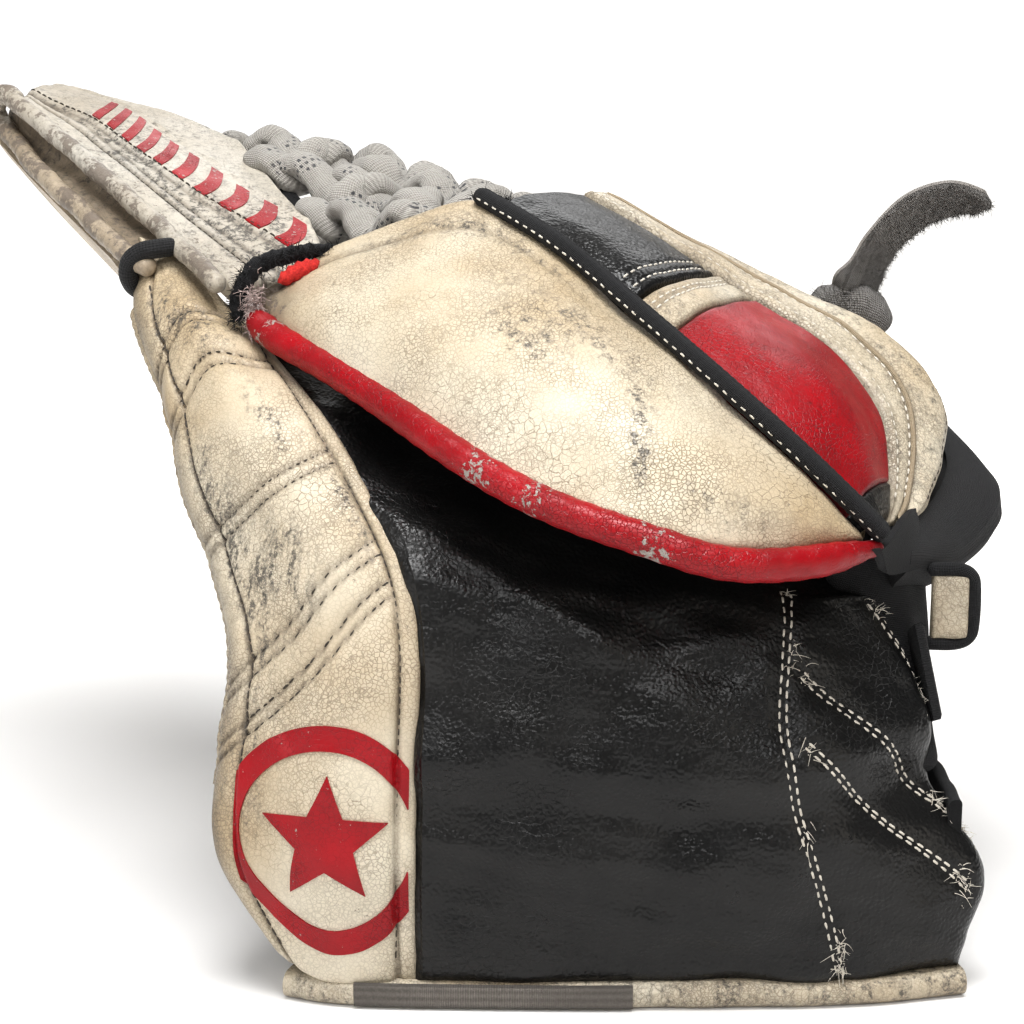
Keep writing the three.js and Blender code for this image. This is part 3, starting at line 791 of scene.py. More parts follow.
class StrapFace(Face):
    """A strap along STRAP_LINE, wider at its root and with a rounded end."""

    def at(self, u, v):
        u, v = pair(u, v)
        tip = np.clip((v - 0.84) / 0.16, 0, 1)
        start = np.clip((0.12 - v) / 0.16, 0, 1)
        width = STRAP_WIDTH * np.sqrt(np.maximum(1 - 0.9 * tip**2, 0.02))
        width = width * (1 + 0.55 * gauss(v, 0.26)) * np.sqrt(1 - 0.8 * start**2)
        curl = 1.2 * np.sin(7 * v) * (u - 0.5) - 2.2 * step_up(v - 0.4, 0.1)
        return spline(STRAP_LINE, v) + STRAP_ACROSS * (width * (u - 0.5))[:, None] + UP * curl[:, None]


THUMB = Face([
    [[-66, 6, 0], [-46, 1, -1], [-25, 0, -1]],
    [[-75, 8, 30], [-50, -2, 30], [-25, -1, 30]],
    [[-74.5, 13, 58], [-49, 0, 58], [-24.5, 0, 57]],
    [[-72, 20, 86], [-48, 6, 88], [-24, 3, 90]],
    [[-79, 32, 106], [-55, 17, 112], [-28, 10, 110]],
    [[-88, 45, 125], [-65, 30, 130], [-39, 27, 129]],
    [[-95, 60, 145], [-75, 46, 148], [-51, 45, 145]],
    [[-105, 79, 165], [-86, 66, 165], [-64, 66, 156]],
    [[-109, 94, 178], [-96, 86, 176], [-80, 82, 168]],
])
PALM = Face([
    [[-24, 0, -1], [12, -1, -1], [52, -1, -1], [93, 1, -1], [123, 7, 1]],
    [[-24, -1, 28], [12, -3, 26], [52, -4, 26], [94, -1, 26], [130, 13, 24]],
    [[-23.5, 0, 57], [12, -3, 52], [50, -3, 50], [88, 1, 50], [118, 22, 48]],
    [[-23, 3, 90], [12, 0, 80], [48, 0, 75], [82, 6, 74], [112, 29, 73]],
    [[-27, 10, 110], [10, 12, 104], [45, 12, 98], [78, 18, 95], [104, 32, 94]],
    [[-38, 30, 129], [2, 38, 124], [36, 28, 110], [72, 24, 101], [101, 32, 97]],
    [[-50, 54, 146], [-14, 68, 143], [22, 54, 127], [60, 38, 113], [98, 32, 99]],
    [[-66, 82, 161], [-32, 100, 161], [8, 76, 143], [48, 50, 124], [94, 32, 101]],
])
FLANGE = FlangeFace([
    [[-69, 68, 167], [-35, 33, 155], [-11, 9, 144], [12, -7, 135], [31, -17, 129],
     [51, -18, 123], [72, -9, 119], [91, 5, 117]],
    [[-70, 70, 171], [-43, 50, 174], [-14, 31, 172], [12, 16, 163], [34, 1, 150],
     [54, -8, 138], [73, -5, 128], [91, 4, 118]],
    [[-71, 73, 175], [-48, 80, 186], [-10, 76, 197], [13, 55, 185], [34, 35, 168],
     [54, 18, 152], [71, 8, 137], [90, 5, 119]],
])
DORSAL = DorsalFace([
    [[-6, 80, 199], [15, 59, 186], [36, 39, 169], [57, 22, 153], [74, 12, 138], [92, 9, 120]],
    [[6, 95, 201], [27, 72, 190], [49, 55, 175], [70, 42, 161], [86, 30, 146], [97, 22, 122]],
    [[22, 112, 200], [44, 97, 188], [66, 88, 174], [89, 74, 160], [103, 58, 143], [104, 38, 121]],
    [[28, 120, 199], [53, 109, 185], [75, 98, 173], [99, 84, 160], [112, 68, 143], [109, 44, 119]],
    [[34, 130, 195], [61, 120, 181], [84, 110, 170], [110, 94, 158], [124, 78, 140], [117, 52, 118]],
    [[38, 143, 182], [64, 134, 167], [87, 122, 155], [111, 108, 141], [123, 90, 124], [115, 62, 108]],
])
FINGER_FACE = Face([
    [[-46, 54, 157], [-16, 20, 142], [10, 4, 133], [33, -6, 127],
     [53, -7, 121], [75, 1, 118], [88, 13, 116]],
    [[-42, 78, 168], [-12, 54, 153], [12, 40, 143], [34, 28, 134],
     [53, 21, 127], [72, 18, 121], [87, 19, 117]],
    [[-36, 100, 178], [-12, 86, 167], [10, 73, 156], [31, 60, 146],
     [48, 50, 138], [67, 38, 129], [84, 28, 119]],
])
INDEX_WALL = Face([
    [[-34, 64, 167], [-33, 82, 174], [-30, 100, 182]],
    [[-22, 78, 181], [-14, 96, 185], [-5, 112, 188]],
    [[-9, 88, 193], [7, 105, 193], [22, 122, 190]],
])
HEEL = Face([
    [[95, 14, 113], [104, 30, 114], [110, 50, 110]],
    [[97, 19, 108], [107, 34, 106], [113, 54, 101]],
])
PINKY = RoundFace([
    [[99, 30, 113], [113, 54, 113], [126, 86, 120], [117, 111, 134]],
    [[104, 29, 108], [122, 54, 103], [139, 82, 112], [127, 109, 128]],
    [[99, 31, 103], [111, 54, 96], [126, 80, 101], [118, 106, 114]],
])
T_FINGER = Face([
    [[-162, 177, 228], [-136, 147, 212], [-109, 114, 195], [-80, 76, 176]],
    [[-161, 203, 230], [-134, 180, 222], [-102, 142, 205], [-56, 100, 183]],
    [[-160, 228, 230], [-138, 215, 227], [-114, 200, 222], [-90, 180, 214]],
])
T_THUMB = Face([
    [[-167, 184, 217], [-147, 152, 204], [-115, 106, 184]],
    [[-164, 192, 210], [-142, 164, 193], [-110, 122, 171]],
    [[-160, 198, 205], [-136, 175, 184], [-104, 140, 159]],
])
WRIST_STRAP = Face([
    [[116, 36, 60], [118, 52, 50], [114, 76, 40], [102, 92, 36]],
    [[112, 38, 80], [115, 52, 68], [112, 74, 54], [102, 90, 47]],
])
FRONT_LINE = [[-61, 6], [-46, 1], [-25, 0], [12, -1], [52, -1], [93, 1], [122, 7]]
WRIST_LINE = [[-46, 98], [-4, 107], [52, 107], [92, 98]]

# ---- Thumb board and cuff ----

CHANNELS = ((0.267, 0.215), (0.335, 0.21), (0.534, 0.148), (0.73, 0.16), (0.81, 0.175))  # v at u = 0, slope
CHANNEL_HALF = 1.8  # mm from the middle of a channel to each of its seams
CHANNEL_SLANT = 0.85  # cosine of the channels' slant
BOARD_LENGTH = 205  # mm
SEAM_STRIP = 5.2  # mm width of the bound strip along the palm seam
EDGE_STRIP = 9.5  # and of the one along the outer edge


def channel(u, start, slope):
    """v of a channel's middle. The upper ones curl."""
    return start + slope * u + (0.02 * np.sin(u * 5) if start > 0.7 else 0)


def thumb_relief(s):
    u, v = s["u"], s["v"]
    height = ripple(s["p"], 38, 1) * 0.55 + ripple(s["p"], 11, 2) * 0.16
    near = np.full(len(u), 99.0)
    grime = 0 * u
    inside = step_up(s["right"] - SEAM_STRIP - 1, 0.6)
    for start, slope in CHANNELS:
        d = (v - channel(u, start, slope)) * s["lv"] * CHANNEL_SLANT
        near = np.minimum(near, np.abs(d))
        lines = (gauss(d - CHANNEL_HALF, 0.7) + gauss(d + CHANNEL_HALF, 0.7)) * inside
        height = height - lines
        # Painted shade in the sewn channels' grooves, with some soiling
        grime = grime + 0.75 * lines
    height = height + 1.5 * (1 - np.exp(-np.maximum(near - CHANNEL_HALF, 0) / 5.0)) * inside
    height = height + 0.9 * dome(u) - 1.2
    for side, far in (("right", SEAM_STRIP), ("left", EDGE_STRIP)):
        height, grime = cut(height, grime, s[side] - far, 1.1, 0.7, 0.8, 0.7)
    # Painted shade along both edges, where the board rounds away, with some soiling
    grime = grime + 0.55 * gauss(s["left"], 5) + 0.25 * gauss(s["right"], 2)
    places = ((0.63, 0.72, 0.09, 0.06), (0.28, 0.45, 0.12, 0.05), (0.41, 0.49, 0.12, 0.06),
              (0.85, 0.6, 0.08, 0.1), (0.1, 0.5, 0.1, 0.25), (0.3, 0.9, 0.3, 0.06))
    scuff = sum(spot(s, *place) for place in places)
    return {"h": height, "grime": np.clip(grime, 0, 1), "scuff": scuff, "chip": 0.6 * gauss(s["left"], 3)}


def foam(s, share=1.0):
    """Depth of the foam's back, which thins towards the top by more or less."""
    return -(6 + 8 * dome(s["u"])) * (1 - 0.45 * share * s["v"])


thumb = Pad(ThumbFace(THUMB.rows), THUMB_U, THUMB_V, inner=foam, edge=(8, 1.6, 2.5, 2), relief=thumb_relief)
blocks = [f"thumb_block_{i}" for i in range(1, 6)]
thumb.build("thumb_skin", WHITE, PALM_HALF, ["cuff_thumb_pad"] + blocks, 0.7)

t = np.linspace(0.02, 0.9, 120)
off = CHANNEL_HALF / BOARD_LENGTH / CHANNEL_SLANT
runs = [(t, channel(t, *shape) + side * off) for shape in CHANNELS for side in (-1, 1)]
t = np.linspace(0.02, 0.98, 300)
across = thumb.state(0 * t + 0.5, t)["lu"]
runs += [(THUMB_U[1] - SEAM_STRIP / across, t), (THUMB_U[0] + EDGE_STRIP / across, t)]
stitches("thumb_stitches", thumb, runs, DARK_THREAD, PALM_HALF, 2.8, 2.5, 0.3, 0.0)

rim, _ = thumb.point(-0.11, np.linspace(0.2, 0.93, 24), -3.0)
tube("thumb_edge_trim", rim, 2.1, WHITE, PALM_HALF, ["thumb_edge_strip"],
     bumps=lambda a, th, line: 0.15 * np.sin(a * 1.9),
     extra=lambda a, p: {"grime": 0.35 + 0 * a, "chip": 0.5 + 0 * a})

# Round badge printed on the cuff: a ring with a plain star in it
BADGE = (0.525, 0.163)
BADGE_RADIUS = 29.3
RING_WIDTH = 5.9
FILM = 0.35  # mm
TURNS, RINGS = 360, 10  # points round the badge and across it


def star(a, tip=17.5, notch=0.45):
    """Radius of a five-pointed star with one point up."""
    k = math.pi / 5
    x = np.abs(((a - math.pi / 2) + k) % (2 * k) - k)
    side = np.sin(x) * (1 - notch * math.cos(k)) + notch * math.sin(k) * np.cos(x)
    return tip * notch * math.sin(k) / side


def badge(name, inner, outer, limits=(0, 1)):
    """A thin film between two radii in mm, as functions of the angle, cut off at limits in u."""
    theta = np.linspace(0, 2 * math.pi, TURNS, endpoint=False)
    middle = thumb.state(*pair(*BADGE))
    lu, lv = middle["lu"][0], middle["lv"][0]
    room = np.where(np.cos(theta) > 0, limits[1] - BADGE[0], BADGE[0] - limits[0]) * lu
    low = np.maximum(inner(theta), 0.02)
    high = np.minimum(outer(theta), room / np.maximum(np.abs(np.cos(theta)), 1e-6))
    keep = high > low + 0.3
    # runs of angles that are kept; a whole circle is one closed run
    if keep.all():
        spans = [np.arange(TURNS + 1) % TURNS]
    else:
        order = (np.arange(TURNS) + int(np.argmax(~keep))) % TURNS
        cuts = np.flatnonzero(np.diff(np.concatenate([[0], keep[order].astype(int), [0]])))
        spans = [order[a:b] for a, b in zip(cuts[::2], cuts[1::2]) if b - a > 3]
    parts = []
    for span in spans:
        r = low[span][:, None] + (high - low)[span][:, None] * np.linspace(0, 1, RINGS)[None]
        th = theta[span][:, None]
        u, v = BADGE[0] + r * np.cos(th) / lu, BADGE[1] + r * np.sin(th) / lv
        top, s = thumb.point(u.ravel(), v.ravel(), 0.12 + FILM)
        points, faces = slab(top, top - s["n"] * (FILM + 0.4), len(span), RINGS)
        parts.append((points, faces[:, ::-1], {"chip": np.full(len(points), 0.25)}))
    piece(name, join(parts), RED, PALM_HALF)


badge("badge_ring", lambda a: BADGE_RADIUS - RING_WIDTH + 0 * a, lambda a: BADGE_RADIUS + 0 * a,
      limits=(0.03, 0.955))
badge("badge_star", lambda a: 0 * a, star)

# Palm and the front of the cuff in one black leather skin
DOUBLE = 1.9  # mm between the two lines of a double row
palm_rows = [Seam(PALM, line) for line in (
    [(0.75, 0.7), (0.675, 0.463), (0.65, 0.344), (0.663, 0.169), (0.713, 0.0)],
    [(0.713, 0.475), (0.875, 0.344), (1.0, 0.206)],
    [(0.688, 0.369), (0.812, 0.244), (0.95, 0.119)],
    [(0.938, 0.594), (0.975, 0.488), (1.0, 0.413)],
)]
palm_ridge = Seam(PALM, [(0.013, 0.644), (0.163, 0.569), (0.325, 0.5)])
PALM_FOLDS = ((0.42, 0.18), (0.53, 0.12), (0.62, 0.1), (0.2, -0.05))  # v at u = 0, slope


def palm_relief(s):
    u, v, p = s["u"], s["v"], s["p"]
    height = ripple(p, 60, 11) * 1.4 + ripple(p, 26, 12) * 0.55
    height = height + ripple(p * (0.4, 1, 1), 10, 13) * 0.32 + ripple(p, 6, 14) * 0.07
    for seam in palm_rows:
        d = seam.distance(p)
        height = height - 0.55 * gauss(d - DOUBLE / 2, 0.55) - 0.45 * gauss(d, 5) + 0.2 * gauss(d - 5, 3)
    fold = 0.3 + 0.05 * u + 0.012 * np.sin(u * 9)
    height = height + 2.4 * gauss((v - fold) * s["lv"], 9) - 2.0 * gauss((v - fold + 0.06) * s["lv"], 7)
    height = height + 1.3 * gauss(palm_ridge.distance(p), 4)
    height = height - 2.2 * spot(s, 0.48, 0.035, 0.1, 0.035) - 1.0 * spot(s, 0.83, 0.55, 0.06, 0.05)
    for start, slope in PALM_FOLDS:
        height = height + 0.5 * gauss((v - start - slope * u) * s["lv"], 3.5) * step_up(0.6 - u, 0.06)
    scuff = 0.6 * spot(s, 0.9, 0.05, 0.1, 0.05) + 0.5 * spot(s, 0.5, 0.01, 0.6, 0.015)
    return {"h": height, "scuff": scuff}


def palm_back(s):
    return np.maximum(foam(s, 0.6), -6.5 - 20 * (0.62 - s["v"]).clip(0))


palm = Pad(PalmFace(PALM.rows), (-0.05, 0.995), (-0.01, 0.99), 0, palm_back, (5, 7, 5, 4), palm_relief)
palm.build("palm_skin", BLACK, PALM_HALF, ["cuff_palm_pad", "palm_pad"], 0.5)
runs = [seam.shifted(side * DOUBLE / 2) for seam in palm_rows for side in (-1, 1)]
stitches("palm_stitches", palm, runs, PALE_THREAD, PALM_HALF, 3.2, 2.5, 0.36, seed=2)

# Where the thread has frayed, and into how many ends
ends = [(seam.uv[k], 14) for seam in palm_rows for k in (3, -4)]
ends += [((0.713, 0.02), 30), ((0.705, 0.05), 20), ((0.655, 0.23), 10), ((0.93, 0.14), 24),
         ((0.96, 0.25), 20), ((0.955, 0.56), 24), ((0.7, 0.5), 12)]
rng = np.random.default_rng(5)
roots, ways = [], []
for (u, v), count in ends:
    uu = np.clip(u + rng.normal(0, 0.006, count), 0.01, 0.985)
    vv = np.clip(v + rng.normal(0, 0.012, count), 0.01, 0.98)
    p, s = palm.point(uu, vv)
    roots += list(p)
    ways += list(unit(s["n"] + rng.normal(0, 1.1, p.shape)))
fibres("frayed_threads", roots, ways, 3.4, PALE_THREAD, PALM_HALF, 0.13, 6)

LINING_FRONT, LINING_BACK = 5.0, 8.0  # mm behind the foam
for name, face, u, v, share, node in (
    ("thumb_lining", THUMB, (0.2, 0.75), (0.42, 0.88), 1.0, "thumb_stall"),
    ("palm_lining", PALM, (0.12, 0.86), (0.05, 0.48), 0.6, "palm_liner"),
):
    lining = Pad(face, u, v, inner=lambda s: foam(s, share) - LINING_BACK, edge=1.2)
    lining.relief = lambda s: {"h": foam(s, share) - LINING_FRONT + 0.4 * ripple(s["p"], 25, 20)}
    lining.build(name, LINING, PALM_HALF, [node], 0.4, step=2.5)

# ---- Bound edge, wrist pad and gussets ----

FLOOR_Z, ROLL_TOP = -9, -2


def worn_and_shaded_edge(p):
    level = 0 * p[:, 0]
    # Painted shade: the binding's lowest 1.5 mm, where it meets the floor, is darker. Scuffs and chips are
    # wear, over a little soiling
    return {"grime": 0.12 + 0.4 * step_up(-7.5 - p[:, 2], 0.5), "scuff": level + 0.6, "chip": level + 0.2}


bar("cuff_binding", FRONT_LINE, rounded(-16.5, 1.7, FLOOR_Z, ROLL_TOP + 0.3, 3.3), WHITE, ["cuff_base_roll"],
    0.8, extra=worn_and_shaded_edge)
bar("plain_patch", [[-42, 0.9], [-25, 0], [12, -1], [32, -1]],
    rounded(1.2, 2.5, FLOOR_Z + 0.8, ROLL_TOP + 0.4, 0.6, 3), PATCH, ["name_patch"], noise=0.05)
bar("wrist_cushion", WRIST_LINE, rounded(-6, 6, ROLL_TOP + 0.4, 50, 5), NYLON, ["wrist_pad"], 0.7, 0.7)
bar("wrist_binding", WRIST_LINE, rounded(-7.5, 7.5, FLOOR_Z, ROLL_TOP, 3.2), WHITE, ["wrist_pad_roll"], 0.8)
bar("thumb_gusset", [[-58, 15], [-62, 26], [-62, 46], [-57, 74], [-48, 96]],
    rounded(-1.8, 1.8, 2, 50, 1.5, 4), NYLON, ["thumb_side_gusset"], 0.2, 0.8)
bar("cuff_gusset", [[119, 14], [120, 30], [119, 50], [112, 76], [94, 98]],
    rounded(-1.8, 1.8, -3, 44, 1.5, 4), NYLON, ["cuff_side_gusset"], 0.2, 0.8)
strap = Pad(WRIST_STRAP, (-0.2, 1.14), (-0.1, 1.1), inner=-3, edge=1.2)
strap.build("wrist_webbing", NYLON, PALM_HALF, ["wrist_strap"], 0.3)
stitches("wrist_webbing_stitches", strap, straight("v", (0.12, 0.88), 0.04, 0.96, 60), PALE_THREAD, PALM_HALF)

WRIST_FILL = Face([
    [[104, 16, 52], [118, 24, 50], [117, 42, 56], [113, 60, 50]],
    [[96, 24, 78], [113, 32, 78], [119, 46, 79], [114, 64, 72]],
    [[84, 26, 106], [103, 30, 108], [118, 50, 103], [114, 66, 92]],
])
wrist_fill = Pad(WRIST_FILL, outer=-2.5, inner=-6, edge=2, relief=uneven(0.4, 16, 42))
wrist_fill.build("wrist_side", NYLON, PALM_HALF, fill=0.4)
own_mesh(wrist_fill.piece, "palm_break", axis=(0, 0, 1), anchor=row_point(112, 30, 52), keep=0.6)

TAB = Face([[[112, 32.6, z], [119.5, 32.4, z], [127, 32.6, z]] for z in (81, 104)])
tab = Pad(TAB, (0.16, 0.84), (0.11, 0.89), 0.4, -3.2, 1.4, uneven(0.2, 9, 41, grime=0.3))
tab.build("tab_panel", WHITE, WRIST_TAB, ["wrist_tab"], 0.5, step=0.8)
TAB_EDGE = [(112.8, 82.2), (121, 82.2), (124.8, 84), (125.8, 88), (125.8, 97), (124.8, 101), (121, 102.8),
            (112.8, 102.8)]
tube("tab_edge", [[x, 34, z] for x, z in TAB_EDGE], 2.0, NYLON, WRIST_TAB, ["wrist_tab_binding"],
     step=0.6, around=14)

# ---- T: two halves, with the fold at the crease between them ----

T_SEAMS = (0.155, 0.225)  # v
T_LOW, T_HIGH = (0.25, 0.14), (0.86, -0.22)  # raised band: v at u = 0, slope


def t_relief(s):
    u, v = s["u"], s["v"]
    height = 0.35 * ripple(s["p"], 30, 50) + 0.1 * ripple(s["p"], 9, 51)
    low = (v - T_LOW[0] - T_LOW[1] * u) * s["lv"]
    high = (v - T_HIGH[0] - T_HIGH[1] * u) * s["lv"]
    height = height + 1.3 * (step_up(low, 0.7) - step_up(high, 0.9)) + 0.9 * gauss(high + 1.5, 1.6)
    # Painted shade at the foot of the raised band on both sides, and in the seams, with some soiling
    grime = 0.7 * gauss(low + 1.5, 1.0) + 0.5 * gauss(high - 1.5, 1.5)
    for seam in T_SEAMS:
        height, grime = cut(height, grime, (v - seam) * s["lv"], 0.9, 0.6, 0.75, 0.9)
    scuff = 0.3 + 0.5 * gauss((v - 0.25) * s["lv"], 7)
    scuff = scuff + 0.6 * spot(s, 0.75, 0.3, 0.3, 0.14) + 0.5 * spot(s, 0.9, 0.5, 0.1, 0.2)
    chip = 0.5 * gauss((v - 0.05) * s["lv"], 3)
    return {"h": height, "grime": np.clip(grime, 0, 1), "scuff": scuff, "chip": chip}


t_front = Pad(T_FINGER, inner=-5.5, edge=(4, 2.5, 1.2, 3.5), relief=t_relief)
t_front.build("t_front", T_WHITE, FINGER_HALF, ["t_finger_half", "t_stripe_band"], 0.6)
runs = straight("v", T_SEAMS, 0.01, 0.97, 160)
u = runs[0][0]
runs.append((u, T_LOW[0] + T_LOW[1] * u + 0.02))
stitches("t_stitches", t_front, runs, DARK_THREAD, FINGER_HALF, radius=0.28, seed=8)

# A row of plain slanted bars, where such gloves carry a line of print
BARS = 10
BAR_WIDE, BAR_SLANT, BAR_TALL = 0.033, 0.035, 0.74  # in u, in u, and of the band's height
BAR_COLUMNS, BAR_LINES = 6, 14  # points
parts = []
uu, vv = np.meshgrid(np.linspace(-0.5, 0.5, BAR_COLUMNS), np.linspace(-0.5, 0.5, BAR_LINES))
for u0 in 0.34 + 0.6 * np.arange(BARS) / (BARS - 1):
    low = T_LOW[0] + T_LOW[1] * u0
    high = T_HIGH[0] + T_HIGH[1] * u0
    us = u0 + uu * BAR_WIDE + vv * BAR_SLANT
    vs = (low + high) / 2 - 0.03 + vv * (high - low) * BAR_TALL
    top, s = t_front.point(np.clip(us, 0, 1).ravel(), vs.ravel(), 0.35)
    points, faces = slab(top, top - s["n"] * 0.7, BAR_LINES, BAR_COLUMNS)
    parts.append((points, faces, {"chip": np.full(len(points), 0.5)}))
piece("t_bars", join(parts), RED, FINGER_HALF)


def lip_marks(a, p):
    return {"scuff": 0.3 + 0 * a, "chip": 0.75 + 0.6 * ripple(p, 16, 55), "grime": 0.12 + 0 * a}


def lip_bumps(a, th, line):
    return 0.35 * np.sin(a * 0.23 + 1) * np.cos(th) + 0.12 * np.sin(a * 1.3)


LIP = {"around": 28, "bumps": lip_bumps, "extra": lip_marks}
tube("t_front_lip", [[-163, 173, 227], [-137, 143, 211], [-110, 110, 194], [-82, 72, 175.5]],
     2.9, T_WHITE, FINGER_HALF, ["t_finger_roll"], 0.9, **LIP)
tube("t_back_lip", [[-167, 180, 217], [-149, 149, 204], [-131, 121, 194], [-115, 98, 184], [-104, 88, 179]],
     3.0, TAN_LIP, PALM_HALF, ["t_thumb_roll"], 0.9, **LIP)


def t_back_relief(s):
    d = (s["v"] - 0.4) * s["lv"]
    # Painted shade in the sewn line, over a little soiling everywhere
    height, grime = cut(0.4 * ripple(s["p"], 25, 60), 0.25, d, 0.8, 0.7, 0.6, 1)
    return {"h": height, "grime": grime, "scuff": 0.5, "chip": 0.3}


t_back = Pad(T_THUMB, inner=-5.5, edge=(3.5, 2.5, 1.2, 3), relief=t_back_relief)
t_back.build("t_back", TAN_LIP, PALM_HALF, ["t_thumb_half"], 0.6)
# Lining inside the fold of the T, from the back lip to the front one
T_INSIDE = Face([
    [[-168, 184, 217.5], [-150, 155, 205.5], [-132, 125, 194.5], [-108, 93, 182]],
    [[-168, 187, 222], [-146, 158, 209], [-126, 131, 197], [-96, 98, 183]],
    [[-164, 180, 226], [-138, 150, 211], [-113, 120, 196], [-88, 86, 180]],
])
# Darkened all over inside the fold: painted shade, with some soiling
lining = Pad(T_INSIDE, inner=-1.6, edge=0.6, relief=uneven(0.3, 16, 57, grime=0.6, scuff=0.6))
crease = (PALM_HALF, FINGER_HALF, row_point(-133, 130, 194), row_point(-122, 130, 204))
lining.build("t_lining", TAN_LIP, crease, fill=0.2)
fold = [[-160, 170, 225.2], [-165, 175.5, 228], [-168.8, 180, 226.4], [-170, 182.5, 222.4],
        [-168.6, 182.5, 218.6], [-164, 175.5, 215]]
tube("t_fold", fold, lambda a: 3.5 - 0.5 * a, T_WHITE,
     (PALM_HALF, FINGER_HALF, row_point(*fold[-1]), row_point(*fold[0])), step=0.8, **LIP)
tube("thumb_band", [[-108, 101, 171], [-111, 95.5, 173.5], [-112, 92, 177.5], [-110.8, 90.5, 181.5],
                    [-107.5, 89.5, 184], [-103, 89.5, 185], [-97, 92, 185.5]],
     2.8, ELASTIC, PALM_HALF, ["thumb_tip_band"], step=0.5, around=20)

# ---- Flange ----


def flange_relief(s):
    u, v, p = s["u"], s["v"], s["p"]
    height = 1.6 * dome(v) * dome(u) ** 0.5
    height = height + 0.8 * ripple(p, 48, 70) + 0.16 * ripple(p, 12, 71) + 0.05 * ripple(p, 5, 72)
    crease = (v - 0.92 + 0.05 * u) * s["lv"]
    fade = step_up(0.42 - u, 0.03)
    height = height - 0.7 * gauss(crease, 1.1) * fade
    # Painted shade in the crease, at the left end, along the top edge and at the right end, with some soiling
    grime = 0.5 * gauss(crease, 1.4) * fade + 0.95 * gauss(s["left"], 13) + 0.3 * gauss(s["top"], 1.8)
    grime = grime + 0.45 * gauss(s["right"], 5)
    scuff = 1.2 * gauss(u - 0.562, 0.02) * step_up(v - 0.15, 0.03) * step_up(0.62 - v, 0.03)
    for share, *place in ((1, 0.38, 0.51, 0.05, 0.09), (0.8, 0.48, 0.7, 0.12, 0.1),
                          (0.9, 0.3, 0.92, 0.15, 0.06), (0.5, 0.7, 0.2, 0.1, 0.15)):
        scuff = scuff + share * spot(s, *place)
    return {"h": height, "grime": np.clip(grime, 0, 1), "scuff": scuff, "chip": gauss(s["left"], 12)}


def flange_back(s):
    return -2.5 - 5.5 * dome(s["u"]) * (1 - 0.5 * s["v"])


flange = Pad(FLANGE, (-0.015, 1.0), (-0.05, 1.05), 0, flange_back, (3, 3, 2.5, 1.5), flange_relief)
flange.build("flange_skin", WHITE, FINGER_HALF, ["flange_pad"], 0.7)


def roll_wear_and_shade(a, p):
    worn = sum(gauss(a - at, width) for at, width in ((0.4, 0.025), (0.47, 0.02), (0.63, 0.03), (0.1, 0.02)))
    # Painted shade at the roll's heel end, where it narrows and tucks in
    grime = 0.5 * gauss(a - 1, 0.06)
    return {"chip": 0.1 + 0.9 * np.clip(worn, 0, 1), "scuff": 0.3 + 0.4 * worn, "grime": grime}


tube("red_roll", [[-73.5, 69, 168.5], [-64, 61, 161.8], [-35, 32, 149.8], [-12, 6, 138], [12, -11, 129],
                  [34, -20, 122.5], [53, -20, 117.5], [76, -10, 115.5], [95, 6, 115.5]],
     lambda a: 4.3 - 2.2 * gauss(a - 1, 0.07) - 1.0 * gauss(a, 0.05), RED, FINGER_HALF, ["red_edge_roll"],
     0.9, around=32, bumps=lambda a, th, line: 0.3 * np.sin(a * 0.11 + th) + 0.1 * np.sin(a * 0.9 + 2 * th),
     extra=roll_wear_and_shade)

BINDING = [[-10, 79, 201.5], [13, 57, 189], [35, 36, 172], [55, 18, 156], [73, 8, 140.5], [90, 4, 124.5],
           [96, 6, 118]]
tube("flange_webbing", BINDING, 2.9, NYLON, FINGER_HALF, ["flange_binding"], step=0.8, around=24,
     bumps=lambda a, th, line: 0.3 * np.cos(2 * th) + 0.08 * np.sin(a * 2.5))
# Its stitches run along the side that faces the flange
line = dense(BINDING, 0.5)
tangent, _, _ = frames(line)
toward = unit(np.cross(tangent, (0.5, -0.6, 0.6)))
toward = toward * np.sign(toward @ np.array((-0.3, -0.8, -0.2)))[:, None]
line = line + toward * 2.85 + np.array((0, -0.2, 0.3))
far = lengths(line)
parts = [tube_mesh(sample(start + np.linspace(0, 2.2, 6), far, line), 0.36, around=6)
         for start in np.arange(3, far[-1] - 3, 3.2)]
piece("flange_stitches", join(parts), PALE_THREAD, FINGER_HALF)

# ---- Back of the fingers ----


def panel_relief(u, v, crown, axis, seams, seed, wear):
    """A crowned panel with sewn lines at places on one axis."""

    def relief(s):
        height = crown * dome((s["u"] - u[0]) / (u[1] - u[0])) * dome((s["v"] - v[0]) / (v[1] - v[0]))
        height = height + 0.3 * ripple(s["p"], 24, seed) + 0.08 * ripple(s["p"], 8, seed + 1)
        # Painted shade along the panel's border and in its sewn lines, with some soiling
        grime = 0.5 * gauss(s["border"], 1.5)
        for place in seams:
            height, grime = cut(height, grime, (s[axis] - place) * s["l" + axis], 0.6, 0.6, 0.5, 0.8)
        chip = 0.3 * gauss(s["border"], 2)
        return {"h": height, "grime": np.clip(grime, 0, 1), "scuff": wear, "chip": chip}

    return relief


